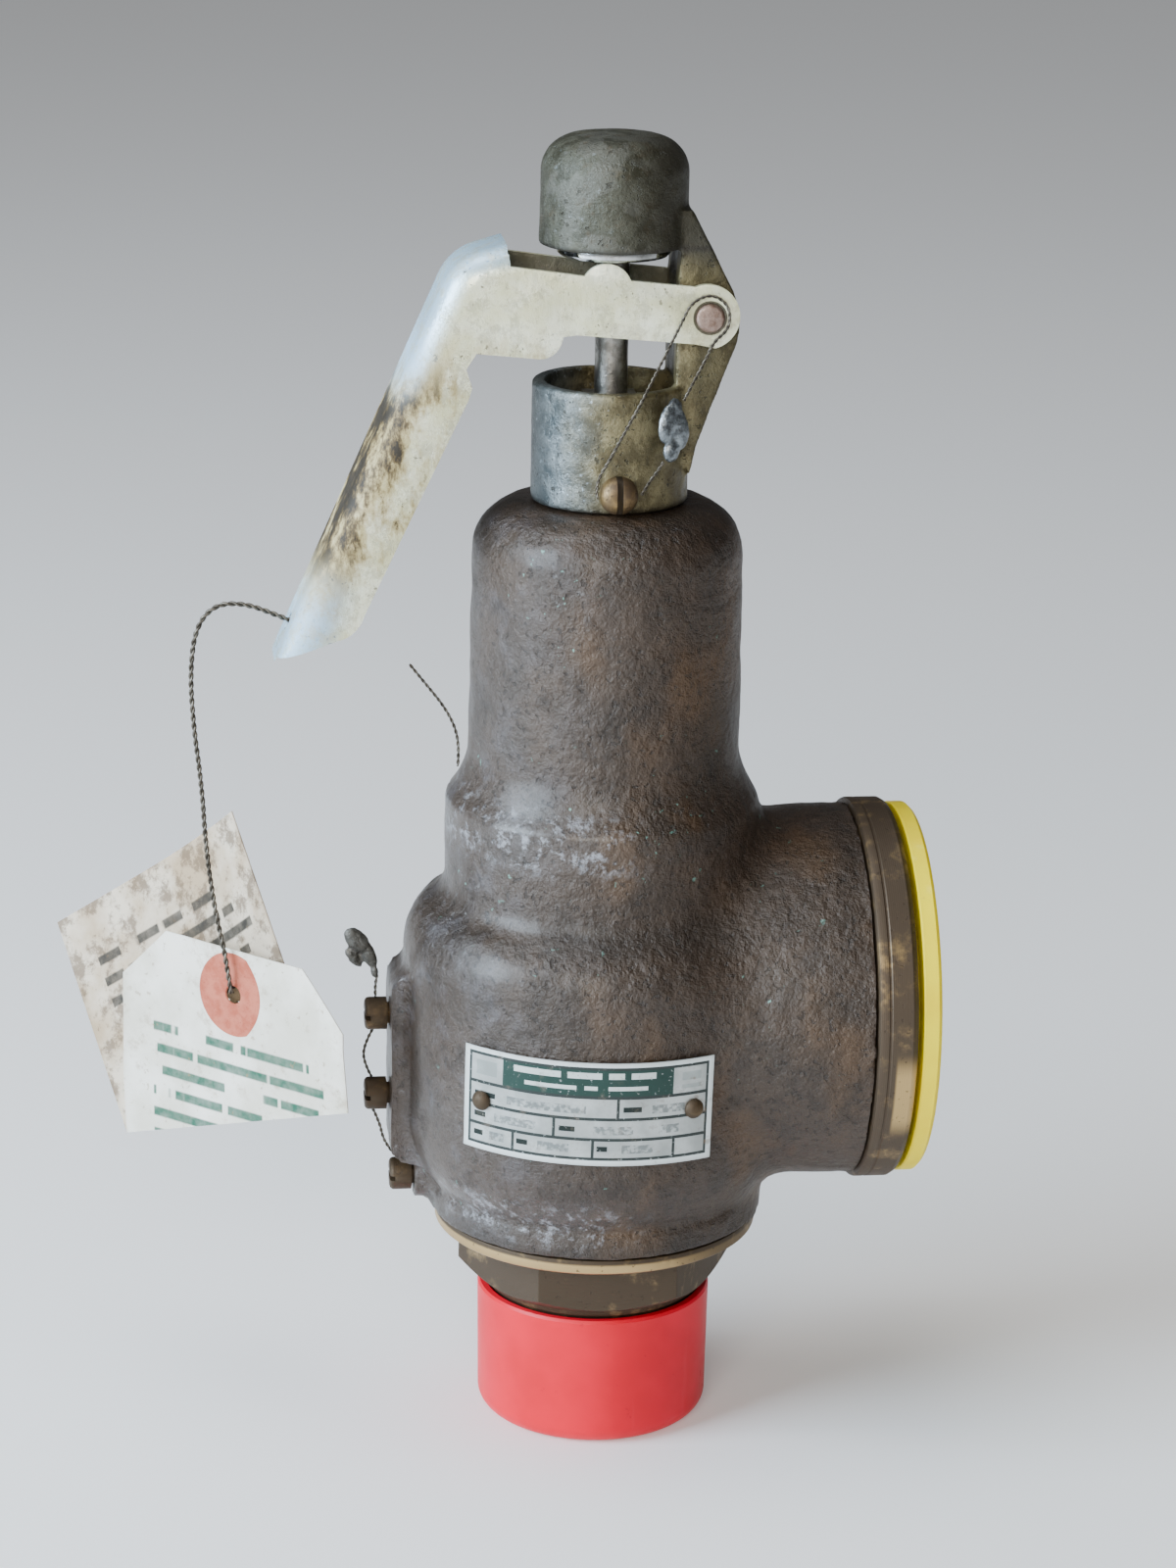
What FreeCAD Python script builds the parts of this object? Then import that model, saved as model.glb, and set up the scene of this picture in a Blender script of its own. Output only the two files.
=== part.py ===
"""Bronze angle safety relief valve with a lifting lever, 2 inch inlet by 3 inch outlet, in millimetres.

The inlet axis is Z, the outlet points along +X, the nameplate faces -Y and the lever hangs on the -X side.
The origin is the centre of the underside of the red thread protector that the valve stands on.
"""
import FreeCAD
import Part
import math
import os

V = FreeCAD.Vector
UP = V(0, 0, 1)
EAST = V(1, 0, 0)
NORTH = V(0, 1, 0)
CENTRE = V(0, 0, 0)

# ---- driving dimensions ------------------------------------------------------------------------
FIT = 0.05                  # radial clearance of a running or assembled fit
INLET_THREAD_R = 30.15      # 2 inch pipe thread
OUTLET_THREAD_R = 44.4      # 3 inch pipe thread, at the face
PIPE_TAPER = 1 / 32         # radius per length of a taper pipe thread

CAP_R = 32.5                # red protector on the inlet thread
CAP_HEIGHT = 37.7
CAP_FLOOR = 2.1
THREAD_BASE_Z = 2.4         # lower end of the inlet thread

HEX_FLATS = 66.0            # wrench hexagon of the nozzle
NOZZLE_FLANGE_R = 44.7
FLANGE_BASE_Z = 56.8
BODY_BASE_Z = 61.0          # where the nozzle flange meets the casting
NOZZLE_SCREW_R = 38.0       # thread that holds the nozzle in the casting
THROAT_R = 16.5
SEAT_Z = 104.0
SEAT_R = 20.0

RIM_R = 47.0                # casting, from the bottom up
BULB_R = 54.6
TIER_R = 43.5
BONNET_R = 36.8
BONNET_TOP_Z = 262.0
WALL = 6.5
CHAMBER_R = BONNET_R - WALL
CAVITY_R = BULB_R - WALL - 1

OUTLET_Z = 122.3
HUB_R = 52.6
HUB_FACE_X = 79.8
BAND_X = 69.0               # where the machined band of the hub starts
OUTLET_BORE_R = 38.0
PLUG_R = 51.2

GUIDE_R = 21.0              # bore that the disc holder slides in
GUIDE_OUT_R = 33.0
GUIDE_BASE_Z = 138.0
GUIDE_TOP_Z = 156.0
STEM_R = 4.4
STEM_BASE_Z = 116.0
STEM_TOP_Z = 345.0
SPRING_BASE_Z = 170.0
SPRING_TOP_Z = 232.0
SPRING_R = 21.5
SPRING_WIRE_R = 3.9
SPRING_TURNS = 5.25
SCREW_R = 11.5              # compression screw

COLLAR_R = 21.0             # lever yoke: collar, dome and the bracket that joins them
COLLAR_TOP_Z = 294.0
DOME_R = 19.8
DOME_BASE_Z = 330.0
DOME_TOP_Z = 359.2
YOKE_WALL = 3.6
BRACKET_HALF = 11.4
YOKE_SCREW_Z = 267.3

PIN_X = 24.0                # lever pin
PIN_Z = 312.8
PIN_R = 3.8
CHEEK_IN = 12.0             # lever: a fork of two cheeks that folds into a channel handle
CHEEK_OUT = 14.0
NUT_BASE_Z = 327.3          # underside of the lift nut, just above the cam of the lever

PLATE_R = 54.7              # nameplate, bent round the casting
PLATE_HALF_ANGLE = 36.8
PLATE_CENTRE_ANGLE = -100.0
PLATE_THICK = 0.6
PLATE_BASE_Z = 93.0
PLATE_HEIGHT = 29.0

PLATE_SCREW_ANGLES = (PLATE_CENTRE_ANGLE - 30.7, PLATE_CENTRE_ANGLE + 30.7)
PLATE_MID_Z = PLATE_BASE_Z + PLATE_HEIGHT / 2
DRIVE_SCREW_R = 1.5

BACK_TIP = (-89.3, 219.8)   # outer back of the handle, as (x, z)
BACK_CORNER = (-42.6, 327.4)
BACK_END = (-29.0, 331.4)
BACK_BEND_R = 15.0
BACK_ROUND = 7.0
WIRE_HOLE = (-84.5, 229.0)  # x and z where the tag wire passes through the back of the handle
WIRE_HOLE_R = 2.2

PAD_X = -58.6               # flat boss that the ring screws enter
PAD_HALF = 10.5
UPPER_SCREW_Z = 117.5       # screws that lock the blowdown rings, and the one that locks the nozzle
LOWER_SCREW_Z = 94.1
LOCK_SCREW_Z = 70.1
SCREW_HEAD_R = 4.5
SCREW_HEAD_LEN = 6.0
SCREW_HOLE_R = 3.0
LOCK_BOSS_X = -51.6
RING_THREAD_R = 22.5        # thread of the lower ring on the nozzle

SEAL_WIRE_R = 0.45
SEAL_WIRE_GAP = 0.25        # from a screw's head to the wire that leaves it
SEAL_TAIL_ROUTE = [         # snipped end of the wire of an earlier seal, on the shoulder of the casting
    (-39.6, 0.0, 187.9), (-39.3, 0.0, 192.4), (-40.2, 0.0, 198.6), (-43.6, 0.0, 205.0), (-48.4, 0.0, 211.0),
    (-52.8, 0.0, 216.6)]

TAG_WIRE_R = 0.75
TAG_WIRE_ROUTE = [          # from inside the handle, out over its edge and down to the hole of the tag
    (-83.0, 0.0, 228.4), (-89.0, 0.0, 231.0), (-97.0, 0.0, 234.0), (-104.5, 0.0, 233.8), (-109.6, -0.4, 228.2),
    (-111.4, -1.2, 217.0), (-110.8, -2.2, 202.0), (-108.6, -3.0, 184.0), (-107.6, -2.6, 166.0),
    (-105.4, -2.4, 149.0), (-102.8, -3.6, 137.0), (-101.8, -4.6, 129.6), (-101.1, -3.2, 125.4)]
TAG_THICK = 0.8
TAG_HOLE = V(-100.2, -2.0, 124.5)
TAG_HOLE_R = 2.5
TAG_TURN = -42.0            # how far the tag is turned about its hanging line, in degrees
TAG_HALF = 39.5
TAG_LENGTH = 127.0
RING_END = 13.0             # from the hole to the clipped end
CLIP = 15.0
FOLD_DROP = 37.5            # from the hole to the middle of the fold
FOLD_SLOPE = 17.5           # tilt of the fold line, in degrees
LEAF_OPENING = 12.0         # angle between the two leaves


# ---- helpers -----------------------------------------------------------------------------------
def save(name, shape):
    """Write one sub-part, and print its solids and volume."""
    shape.exportStep(f"parts/{name}.step")
    print(f"{name:24s} solids {len(shape.Solids)}  volume {shape.Volume / 1000:9.3f} cm3  valid {shape.isValid()}")


def outline(path, place):
    """Closed face: (a, b) is a straight run to a point, (m, n, a, b) an arc through m, n to a, b."""
    last = place(*path[0])
    edges = []
    for step in path[1:] + [path[0]]:
        end = place(*step[-2:])
        if len(step) == 4:
            edges.append(Part.Arc(last, place(*step[:2]), end).toShape())
        else:
            edges.append(Part.LineSegment(last, end).toShape())
        last = end
    return Part.Face(Part.Wire(edges))


def spun(path):
    """Turn a (radius, height) outline about the inlet axis."""
    return outline(path, lambda r, z: V(r, 0, z)).revolve(CENTRE, UP, 360)


def spun_east(path, z=OUTLET_Z):
    """Turn an (x, radius) outline about the line along X at height z."""
    return outline(path, lambda x, r: V(x, 0, z + r)).revolve(V(0, 0, z), EAST, 360)


def ring(r_in, r_out, low, high):
    """Plain ring or bush about the inlet axis."""
    return spun([(r_in, low), (r_out, low), (r_out, high), (r_in, high)])


def slab(path, half):
    """Extrude an (x, z) outline from y = -half to y = half."""
    return outline(path, lambda x, z: V(x, -half, z)).extrude(V(0, 2 * half, 0))


def rod(radius, length, start, direction):
    """Solid cylinder."""
    return Part.makeCylinder(radius, length, start, direction)


def hexagon(flats, low, high):
    """Hexagonal prism about the inlet axis, with one flat towards -Y."""
    corner = flats / math.sqrt(3)
    points = [V(corner * math.cos(math.radians(60 * i)), corner * math.sin(math.radians(60 * i)), low)
              for i in range(7)]
    return Part.Face(Part.makePolygon(points)).extrude(V(0, 0, high - low))


def hexagon_nut(flats, bore, low, high):
    """Nut with its top corners turned off."""
    corner = flats / math.sqrt(3)
    cone = spun([(0, low), (corner, low), (corner, high - 1.5), (flats / 2, high), (0, high)])
    return hexagon(flats, low, high).common(cone).cut(rod(bore, high - low + 2, V(0, 0, low - 1), UP))


def screw_west(z, seat_x, tip_x):
    """Screw that enters from the -X side: domed slotted head that sits on a face at seat_x, and its shank."""
    head_x = seat_x - SCREW_HEAD_LEN
    head_r = SCREW_HEAD_R
    shank_r = SCREW_HOLE_R - FIT
    slot = Part.makeBox(1.6, 2 * head_r + 2, 1.3, V(head_x - 0.1, -head_r - 1, z - 0.65))
    head = spun_east([(head_x, 0), (head_x, head_r - 1.2), (head_x + 0.35, head_r - 0.35, head_x + 1.2, head_r),
                      (seat_x, head_r), (seat_x, shank_r), (tip_x, shank_r), (tip_x, 0)], z)
    return head.cut(slot)


def route(points):
    """Wire of straight runs joined by the largest tangent arcs that they allow. Also gives the arcs' radii."""
    edges = []
    radii = []
    last = points[0]
    for before, corner, after in zip(points, points[1:], points[2:]):
        back = (before - corner)
        ahead = (after - corner)
        half_turn = (math.pi - back.getAngle(ahead)) / 2
        reach = 0.45 * min(back.Length, ahead.Length)
        back.normalize()
        ahead.normalize()
        start = corner + back * reach
        end = corner + ahead * reach
        radius = reach / math.tan(half_turn)
        bisector = (back + ahead).normalize()
        middle = corner + bisector * (radius / math.cos(half_turn) - radius)
        edges.append(Part.LineSegment(last, start).toShape())
        edges.append(Part.Arc(start, middle, end).toShape())
        radii.append(radius)
        last = end
    edges.append(Part.LineSegment(last, points[-1]).toShape())
    return Part.Wire(edges), radii


def tube(name, points, radius):
    """Round wire along a route, with its radii and its volume compared with section times length."""
    path, radii = route([V(*p) for p in points])
    first = path.Edges[0]
    circle = Part.Wire(Part.makeCircle(radius, first.valueAt(0), first.tangentAt(0)))
    solid = path.makePipeShell([circle], True, False)
    expected = math.pi * radius ** 2 * path.Length
    print(f"{name}: length {path.Length:.1f}, smallest arc {min(radii):.1f}, volume {solid.Volume / expected:.3f}")
    return solid


# ---- casting and nozzle ------------------------------------------------------------------------
def body_casting():
    """Body and spring housing, one hollow bronze casting that opens below and to the east."""
    shell = spun([
        (0, BODY_BASE_Z), (RIM_R - 1, BODY_BASE_Z), (RIM_R, BODY_BASE_Z + 1), (RIM_R, 68.5), (RIM_R - 1, 69.5),
        (52.2, 80, BULB_R, 92), (BULB_R, 135), (53.0, 144.2, 48.4, 150.4), (45.2, 152.6, TIER_R, 157),
        (TIER_R, 180), (40.2, 184.6, BONNET_R + 0.6, 193), (BONNET_R, 248), (32.8, 257.9, 23.3, BONNET_TOP_Z),
        (0, BONNET_TOP_Z)])
    hub = spun_east([
        (0, 0), (0, 46), (36, 49), (50, 51.4, BAND_X - 2, 51.8), (BAND_X, HUB_R), (HUB_FACE_X - 1.5, HUB_R),
        (HUB_FACE_X, HUB_R - 1.5), (HUB_FACE_X, 0)])
    pad = slab([(PAD_X, 81), (-56.2, 77.2, PAD_X + 8, 75.4), (-40, 75.4), (-40, 133), (PAD_X + 8, 133),
                (-56.2, 131, PAD_X, 127)], PAD_HALF)
    lock_boss = rod(7.0, 16, V(LOCK_BOSS_X, 0, LOCK_SCREW_Z), EAST)
    outside = shell.fuse([hub, pad, lock_boss]).removeSplitter()

    cavity = spun([
        (0, BODY_BASE_Z - 1), (NOZZLE_SCREW_R, BODY_BASE_Z - 1), (NOZZLE_SCREW_R, 76), (CAVITY_R - 3, 85),
        (CAVITY_R, 94), (CAVITY_R, 126), (CAVITY_R - 6, 137.9), (GUIDE_OUT_R + 0.02, 137.95),
        (GUIDE_OUT_R + 0.02, GUIDE_TOP_Z), (CHAMBER_R, GUIDE_TOP_Z), (CHAMBER_R, 244), (22, 252),
        (SCREW_R, 252), (SCREW_R, BONNET_TOP_Z + 1), (0, BONNET_TOP_Z + 1)])
    thread_start = 57.0
    bore = spun_east([
        (20, 0), (20, OUTLET_BORE_R), (thread_start, OUTLET_BORE_R),
        (thread_start, OUTLET_THREAD_R - (HUB_FACE_X - thread_start) * PIPE_TAPER),
        (HUB_FACE_X, OUTLET_THREAD_R), (HUB_FACE_X + 1, OUTLET_THREAD_R), (HUB_FACE_X + 1, 0)])
    screw_holes = [rod(SCREW_HOLE_R, 32, V(-62, 0, z), EAST) for z in (UPPER_SCREW_Z, LOWER_SCREW_Z)]
    lock_hole = rod(SCREW_HOLE_R, 20, V(-52, 0, LOCK_SCREW_Z), EAST)
    rivet_holes = [rod(DRIVE_SCREW_R, 8, plate_point(angle, 50), plate_normal(angle))
                   for angle in PLATE_SCREW_ANGLES]
    return outside.cut([cavity, bore, lock_hole] + screw_holes + rivet_holes)


def inlet_nozzle():
    """Full nozzle: pipe thread, wrench hexagon, flange and the seat at the top of its throat."""
    thread_top = 37.0
    outside = spun([
        (0, THREAD_BASE_Z), (INLET_THREAD_R - 1.6, THREAD_BASE_Z),
        (INLET_THREAD_R - 0.9, THREAD_BASE_Z + 1), (INLET_THREAD_R, thread_top), (30.6, 40), (32, 40.5),
        (39, 45), (NOZZLE_FLANGE_R - 0.7, FLANGE_BASE_Z), (NOZZLE_FLANGE_R, FLANGE_BASE_Z + 0.6),
        (NOZZLE_FLANGE_R, BODY_BASE_Z - 0.02),
        (NOZZLE_SCREW_R - 0.02, BODY_BASE_Z - 0.02), (NOZZLE_SCREW_R - 0.02, 75), (30, 78), (25, 81),
        (RING_THREAD_R, 83), (RING_THREAD_R, SEAT_Z - 1.5), (SEAT_R, SEAT_Z), (0, SEAT_Z)])
    below_flange = Part.makeBox(120, 120, FLANGE_BASE_Z - 40, V(-60, -60, 40))
    shaved = below_flange.cut(hexagon(HEX_FLATS, 39, FLANGE_BASE_Z + 1))
    bore = spun([
        (0, 0), (25.5, 0), (24.6, 30), (19, 62, THROAT_R, 92), (THROAT_R, SEAT_Z + 1), (0, SEAT_Z + 1)])
    return outside.cut([shaved, bore])


def lower_ring():
    """Blowdown ring on the nozzle, notched round its rim for the screw that locks it."""
    blank = spun([(RING_THREAD_R + FIT, 85), (29.5, 85), (30.5, 86), (30.5, 97), (27, 103.4), (25.2, 103.4),
                  (23.4, 101), (RING_THREAD_R + FIT, 101)])
    return notched(blank, 30.5, 84, LOWER_SCREW_Z + 3.2)


def upper_ring():
    """Blowdown ring that hangs on the lower end of the guide."""
    blank = spun([(27.6, 107), (31.5, 107), (33.5, 109), (33.5, 124), (27.6, 124)])
    return notched(blank, 33.5, 112.4, 125)


def notched(blank, radius, low, high):
    """Cut locking notches into the rim of a ring."""
    count = 16
    notches = []
    for i in range(count):
        angle = math.pi + i * 2 * math.pi / count
        along = V(math.cos(angle), math.sin(angle), 0)
        notch = Part.makeBox(4, 6.4, high - low, V(radius - 2.4, -3.2, low))
        notch.rotate(CENTRE, UP, math.degrees(math.atan2(along.y, along.x)))
        notches.append(notch)
    return blank.cut(notches)


def disc_guide():
    """Bronze guide held in the neck of the casting. The disc holder slides in it."""
    return spun([(GUIDE_R + FIT, 122), (27.5, 122), (27.5, GUIDE_BASE_Z), (GUIDE_OUT_R, GUIDE_BASE_Z),
                 (GUIDE_OUT_R, GUIDE_TOP_Z - 0.02), (GUIDE_R + FIT, GUIDE_TOP_Z - 0.02)])


# ---- the lifted parts --------------------------------------------------------------------------
def disc():
    """Seat disc, clipped into its holder."""
    return spun([(0, SEAT_Z), (SEAT_R, SEAT_Z), (SEAT_R, SEAT_Z + 3.5), (14, SEAT_Z + 3.5), (14, 109.5), (0, 109.5)])


def disc_holder():
    """Piston that carries the disc, with the pocket for the foot of the stem."""
    return spun([(14 + FIT, SEAT_Z + 3.6), (26, SEAT_Z + 3.6), (26, 107.8), (24, 108.4), (GUIDE_R, 113),
                 (GUIDE_R, 146), (14, 146), (14, 124), (STEM_R + 2.5, 124), (STEM_R + 2.5, STEM_BASE_Z),
                 (0, STEM_BASE_Z), (0, 109.6), (14 + FIT, 109.6)])


def stem():
    """Spindle from the disc holder to the lift nut."""
    foot = STEM_R + 2.1
    return spun([(0, STEM_BASE_Z + 0.02), (2.5, STEM_BASE_Z + 0.02), (foot, 118.5), (foot, 123),
                 (STEM_R, 123), (STEM_R, 158), (foot + 1, 158), (foot + 1, 162), (STEM_R, 165),
                 (STEM_R, STEM_TOP_Z - 1.2), (STEM_R - 1.2, STEM_TOP_Z), (0, STEM_TOP_Z)])


def stem_clip():
    """Snap ring that keeps the foot of the stem in its pocket."""
    clip = ring(STEM_R + 0.6, STEM_R + 2.4, 123.05, 124.0)
    return clip.cut(Part.makeBox(12, 3, 3, V(0, -1.5, 122)))


def lower_spring_washer():
    """Dished washer that rests on the shoulder of the stem."""
    return spun([(STEM_R + FIT, 165.2), (8.2, 162.2), (12, 162.2), (27, 166), (27, SPRING_BASE_Z),
                 (17, SPRING_BASE_Z), (17, 174), (STEM_R + FIT, 174)])


def upper_spring_washer():
    """Dished washer between the spring and the compression screw."""
    return spun([(STEM_R + 1, 228), (17, 228), (17, SPRING_TOP_Z), (27, SPRING_TOP_Z), (27, 235.5),
                 (12, 239.8), (STEM_R + 1, 239.8)])


def spring():
    """Round wire coil spring with ground ends."""
    height = SPRING_TOP_Z - SPRING_BASE_Z
    helix = Part.makeHelix(height / SPRING_TURNS, height, SPRING_R)
    section = Part.Wire(Part.makeCircle(SPRING_WIRE_R, V(SPRING_R, 0, 0), NORTH))
    coil = Part.Wire(helix).makePipeShell([section], True, True)
    coil.translate(V(0, 0, SPRING_BASE_Z))
    return coil.common(ring(SPRING_R - 6, SPRING_R + 6, SPRING_BASE_Z, SPRING_TOP_Z))


def lift_nut():
    """Bright flanged nut near the top of the stem. The lever lifts it by its flange."""
    flange = spun([(STEM_R + 0.02, NUT_BASE_Z), (14.2, NUT_BASE_Z), (15, NUT_BASE_Z + 0.8),
                   (15, NUT_BASE_Z + 2.6), (14, NUT_BASE_Z + 3.4), (STEM_R + 0.02, NUT_BASE_Z + 3.4)])
    return flange.fuse(hexagon_nut(17, STEM_R + 0.02, NUT_BASE_Z + 3.4, NUT_BASE_Z + 10)).removeSplitter()


def lift_jam_nut():
    """Thin nut that locks the lift nut."""
    return hexagon_nut(17, STEM_R + 0.02, NUT_BASE_Z + 10.1, NUT_BASE_Z + 15)


# ---- spring adjustment and lever yoke ----------------------------------------------------------
def compression_screw():
    """Hollow set screw that loads the spring, with a square on its upper end."""
    square = 14.0
    screw = spun([(STEM_R + FIT, 240), (SCREW_R - 1.5, 240), (SCREW_R - 0.02, 241.5), (SCREW_R - 0.02, 275),
                  (SCREW_R - 1.2, 276), (SCREW_R - 1.2, 290), (STEM_R + FIT, 290)])
    blank = Part.makeBox(40, 40, 20, V(-20, -20, 276))
    return screw.cut(blank.cut(Part.makeBox(square, square, 20, V(-square / 2, -square / 2, 276))))


def compression_lock_nut():
    """Hexagon nut on the compression screw, inside the collar."""
    return hexagon_nut(29, SCREW_R, BONNET_TOP_Z + 0.02, BONNET_TOP_Z + 9)


def lever_yoke():
    """C-shaped zinc casting: collar on the bonnet, bracket for the lever pin, and dome over the stem."""
    collar_in = COLLAR_R - YOKE_WALL
    dome_in = DOME_R - YOKE_WALL + 0.4
    collar = spun([(collar_in, BONNET_TOP_Z), (COLLAR_R, BONNET_TOP_Z), (COLLAR_R, COLLAR_TOP_Z - 0.8),
                   (COLLAR_R - 0.8, COLLAR_TOP_Z), (collar_in, COLLAR_TOP_Z)])
    round_r = 10.0
    edge = DOME_R - round_r
    bend = round_r * math.sqrt(0.5)
    dome = spun([(dome_in, DOME_BASE_Z), (DOME_R, DOME_BASE_Z), (DOME_R - 0.3, DOME_TOP_Z - round_r - 0.6),
                 (edge + bend, DOME_TOP_Z - 0.6 - round_r + bend, edge, DOME_TOP_Z - 0.6), (0, DOME_TOP_Z),
                 (0, DOME_TOP_Z - 4), (edge, DOME_TOP_Z - 4.6), (dome_in, DOME_TOP_Z - 12)])
    inner = 15.6
    bracket = slab([(inner, 280), (20, 270), (21.6, 278), (25.4, 288.6), (30.9, 303), (32.4, 311, 30.6, 319),
                    (24.3, 331.3), (19.4, 340.5), (inner + 1.2, 340.5), (inner + 0.9, DOME_BASE_Z), (inner, 322),
                    (inner, 296)], BRACKET_HALF)
    inside = ring(0.01, collar_in, BONNET_TOP_Z - 1, COLLAR_TOP_Z + 1)
    nut_room = rod(dome_in, DOME_TOP_Z - 12 - 322, V(0, 0, 322), UP)
    pin_hole = rod(PIN_R, 40, V(PIN_X, -20, PIN_Z), NORTH)
    screw_hole = rod(2.6, 8, V(0, -COLLAR_R - 1, YOKE_SCREW_Z), NORTH)
    bracket = bracket.cut([inside, nut_room])
    return collar.fuse([dome, bracket]).removeSplitter().cut([pin_hole, screw_hole])


def yoke_screw():
    """Slotted round-head screw that holds the collar, with a cross hole for the seal wire."""
    head_y = -COLLAR_R + 0.3
    head = spun_east([(0, 0), (0, 5.15), (1.4, 5.0), (3.4, 3.9, 4.2, 0)], 0)
    shank = spun_east([(-4.2, 0), (-4.2, 2.6 - FIT), (0, 2.6 - FIT), (0, 0)], 0)
    screw = head.fuse(shank).removeSplitter()
    screw = screw.cut(Part.makeBox(2, 1.3, 12, V(2.9, -0.65, -6)))
    screw.rotate(CENTRE, UP, -90)
    screw.translate(V(0, head_y, YOKE_SCREW_Z))
    seat = Part.makeCylinder(COLLAR_R + 0.02, 14, V(0, 0, YOKE_SCREW_Z - 7), UP)
    return screw.cut(seat.cut(rod(2.6, 12, V(0, -COLLAR_R - 3, YOKE_SCREW_Z), NORTH)))


def lever_pin():
    """Pin through the bracket and both cheeks, upset a little at its ends."""
    half = CHEEK_OUT + 1.3
    pin = rod(PIN_R - 0.02, 2 * half, V(PIN_X, -half, PIN_Z), NORTH)
    ends = [edge for edge in pin.Edges if edge.isClosed()]
    return pin.makeChamfer(0.6, ends)


def lever():
    """Pressed lever: cheeks with a cam under the lift nut, and a channel handle with a rounded back."""
    ear_r = 8.2
    fork = slab([
        BACK_END, (-28.4, 326.3), (-9, 323.8), (-3.2, 327.0, 3, 322.6), (20, 320.9),
        (PIN_X + ear_r * 0.95, PIN_Z + 1.4, 25.6, 304.8), (20, 305.9), (-11, 308.4), (-14.5, 307.9),
        (-16.5, 303.6, -21.5, 302.2), (-37, 303.6), (-39.6, 299.5), (-38, 294.5), (-38.9, 291.5),
        (-66, 233.5), (-68.4, 229.4, -73, 227.0), (-88.6, 221.2), BACK_TIP]
        + rounded(BACK_TIP, BACK_CORNER, BACK_END, BACK_BEND_R), CHEEK_OUT)
    backs = [edge for edge in fork.Edges if on_back(edge)]
    fork = fork.makeFillet(BACK_ROUND, backs)
    sheet = CHEEK_OUT - CHEEK_IN
    gap_tip = inset(BACK_TIP, sheet)
    gap_corner = inset(BACK_CORNER, sheet)
    gap_end = inset(BACK_END, sheet)
    gap = slab([gap_tip] + rounded(gap_tip, gap_corner, gap_end, BACK_BEND_R - sheet)
               + [gap_end, (60, gap_end[1] + 12), (60, 200), (gap_tip[0], 200)], CHEEK_IN)
    inner_round = [edge for edge in gap.Edges if on_back(edge, sheet)]
    gap = gap.makeFillet(BACK_ROUND - sheet, inner_round)
    fork_room = slab([(BACK_END[0], 345), (60, 345), (60, 290), (BACK_END[0], 290)], CHEEK_IN)
    pin_hole = rod(PIN_R + FIT, 60, V(PIN_X, -30, PIN_Z), NORTH)
    wire_hole = rod(WIRE_HOLE_R, 30, V(WIRE_HOLE[0] - 12, 0, WIRE_HOLE[1]), EAST)
    return fork.cut([gap, fork_room, pin_hole, wire_hole])


def rounded(before, corner, after, radius):
    """Steps of an outline that round one corner with a tangent arc."""
    here = V(corner[0], 0, corner[1])
    back = (V(before[0], 0, before[1]) - here).normalize()
    ahead = (V(after[0], 0, after[1]) - here).normalize()
    half_turn = (math.pi - back.getAngle(ahead)) / 2
    start = here + back * radius * math.tan(half_turn)
    end = here + ahead * radius * math.tan(half_turn)
    middle = here + (back + ahead).normalize() * (radius / math.cos(half_turn) - radius)
    return [(start.x, start.z), (middle.x, middle.z, end.x, end.z)]


def inset(point, distance):
    """Shift a point of the lever's back inwards, square to the handle or to the top edge."""
    along_handle = V(BACK_CORNER[0] - BACK_TIP[0], 0, BACK_CORNER[1] - BACK_TIP[1]).normalize()
    along_top = V(BACK_END[0] - BACK_CORNER[0], 0, BACK_END[1] - BACK_CORNER[1]).normalize()
    in_handle = V(along_handle.z, 0, -along_handle.x)
    in_top = V(along_top.z, 0, -along_top.x)
    if point == BACK_TIP:
        shift = in_handle * distance
    elif point == BACK_END:
        shift = in_top * distance
    else:
        bisector = (in_handle + in_top).normalize()
        shift = bisector * (distance / bisector.dot(in_top))
    return point[0] + shift.x, point[1] + shift.z


def on_back(edge, depth=0.0):
    """True for the long side edges of the lever's outer back, or of its inner face at a depth."""
    if abs(edge.Vertexes[0].Point.y - edge.Vertexes[-1].Point.y) > 1:
        return False
    tip = inset(BACK_TIP, depth)
    corner = inset(BACK_CORNER, depth)
    end = inset(BACK_END, depth)
    start, bend = rounded(tip, corner, end, BACK_BEND_R - depth)
    middles = [((tip[0] + start[0]) / 2, (tip[1] + start[1]) / 2), bend[:2],
               ((bend[2] + end[0]) / 2, (bend[3] + end[1]) / 2)]
    middle = edge.valueAt((edge.FirstParameter + edge.LastParameter) / 2)
    return any(math.hypot(middle.x - x, middle.z - z) < 0.5 for x, z in middles)


# ---- nameplate, screws and seals ---------------------------------------------------------------
def plate_normal(angle):
    """Outward direction at an angle about the inlet axis, in degrees from +X."""
    return V(math.cos(math.radians(angle)), math.sin(math.radians(angle)), 0)


def plate_point(angle, radius):
    """Point at the middle height of the nameplate."""
    return plate_normal(angle) * radius + V(0, 0, PLATE_MID_Z)


def nameplate():
    """Thin plate bent round the casting, with a hole near each end."""
    plate = ring(PLATE_R, PLATE_R + PLATE_THICK, PLATE_BASE_Z, PLATE_BASE_Z + PLATE_HEIGHT)
    wedge = Part.makeCylinder(PLATE_R + 5, PLATE_HEIGHT + 2, V(0, 0, PLATE_BASE_Z - 1), UP, 2 * PLATE_HALF_ANGLE)
    wedge.rotate(CENTRE, UP, PLATE_CENTRE_ANGLE - PLATE_HALF_ANGLE)
    holes = [rod(DRIVE_SCREW_R, 4, plate_point(angle, PLATE_R - 2), plate_normal(angle))
             for angle in PLATE_SCREW_ANGLES]
    return plate.common(wedge).cut(holes)


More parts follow.
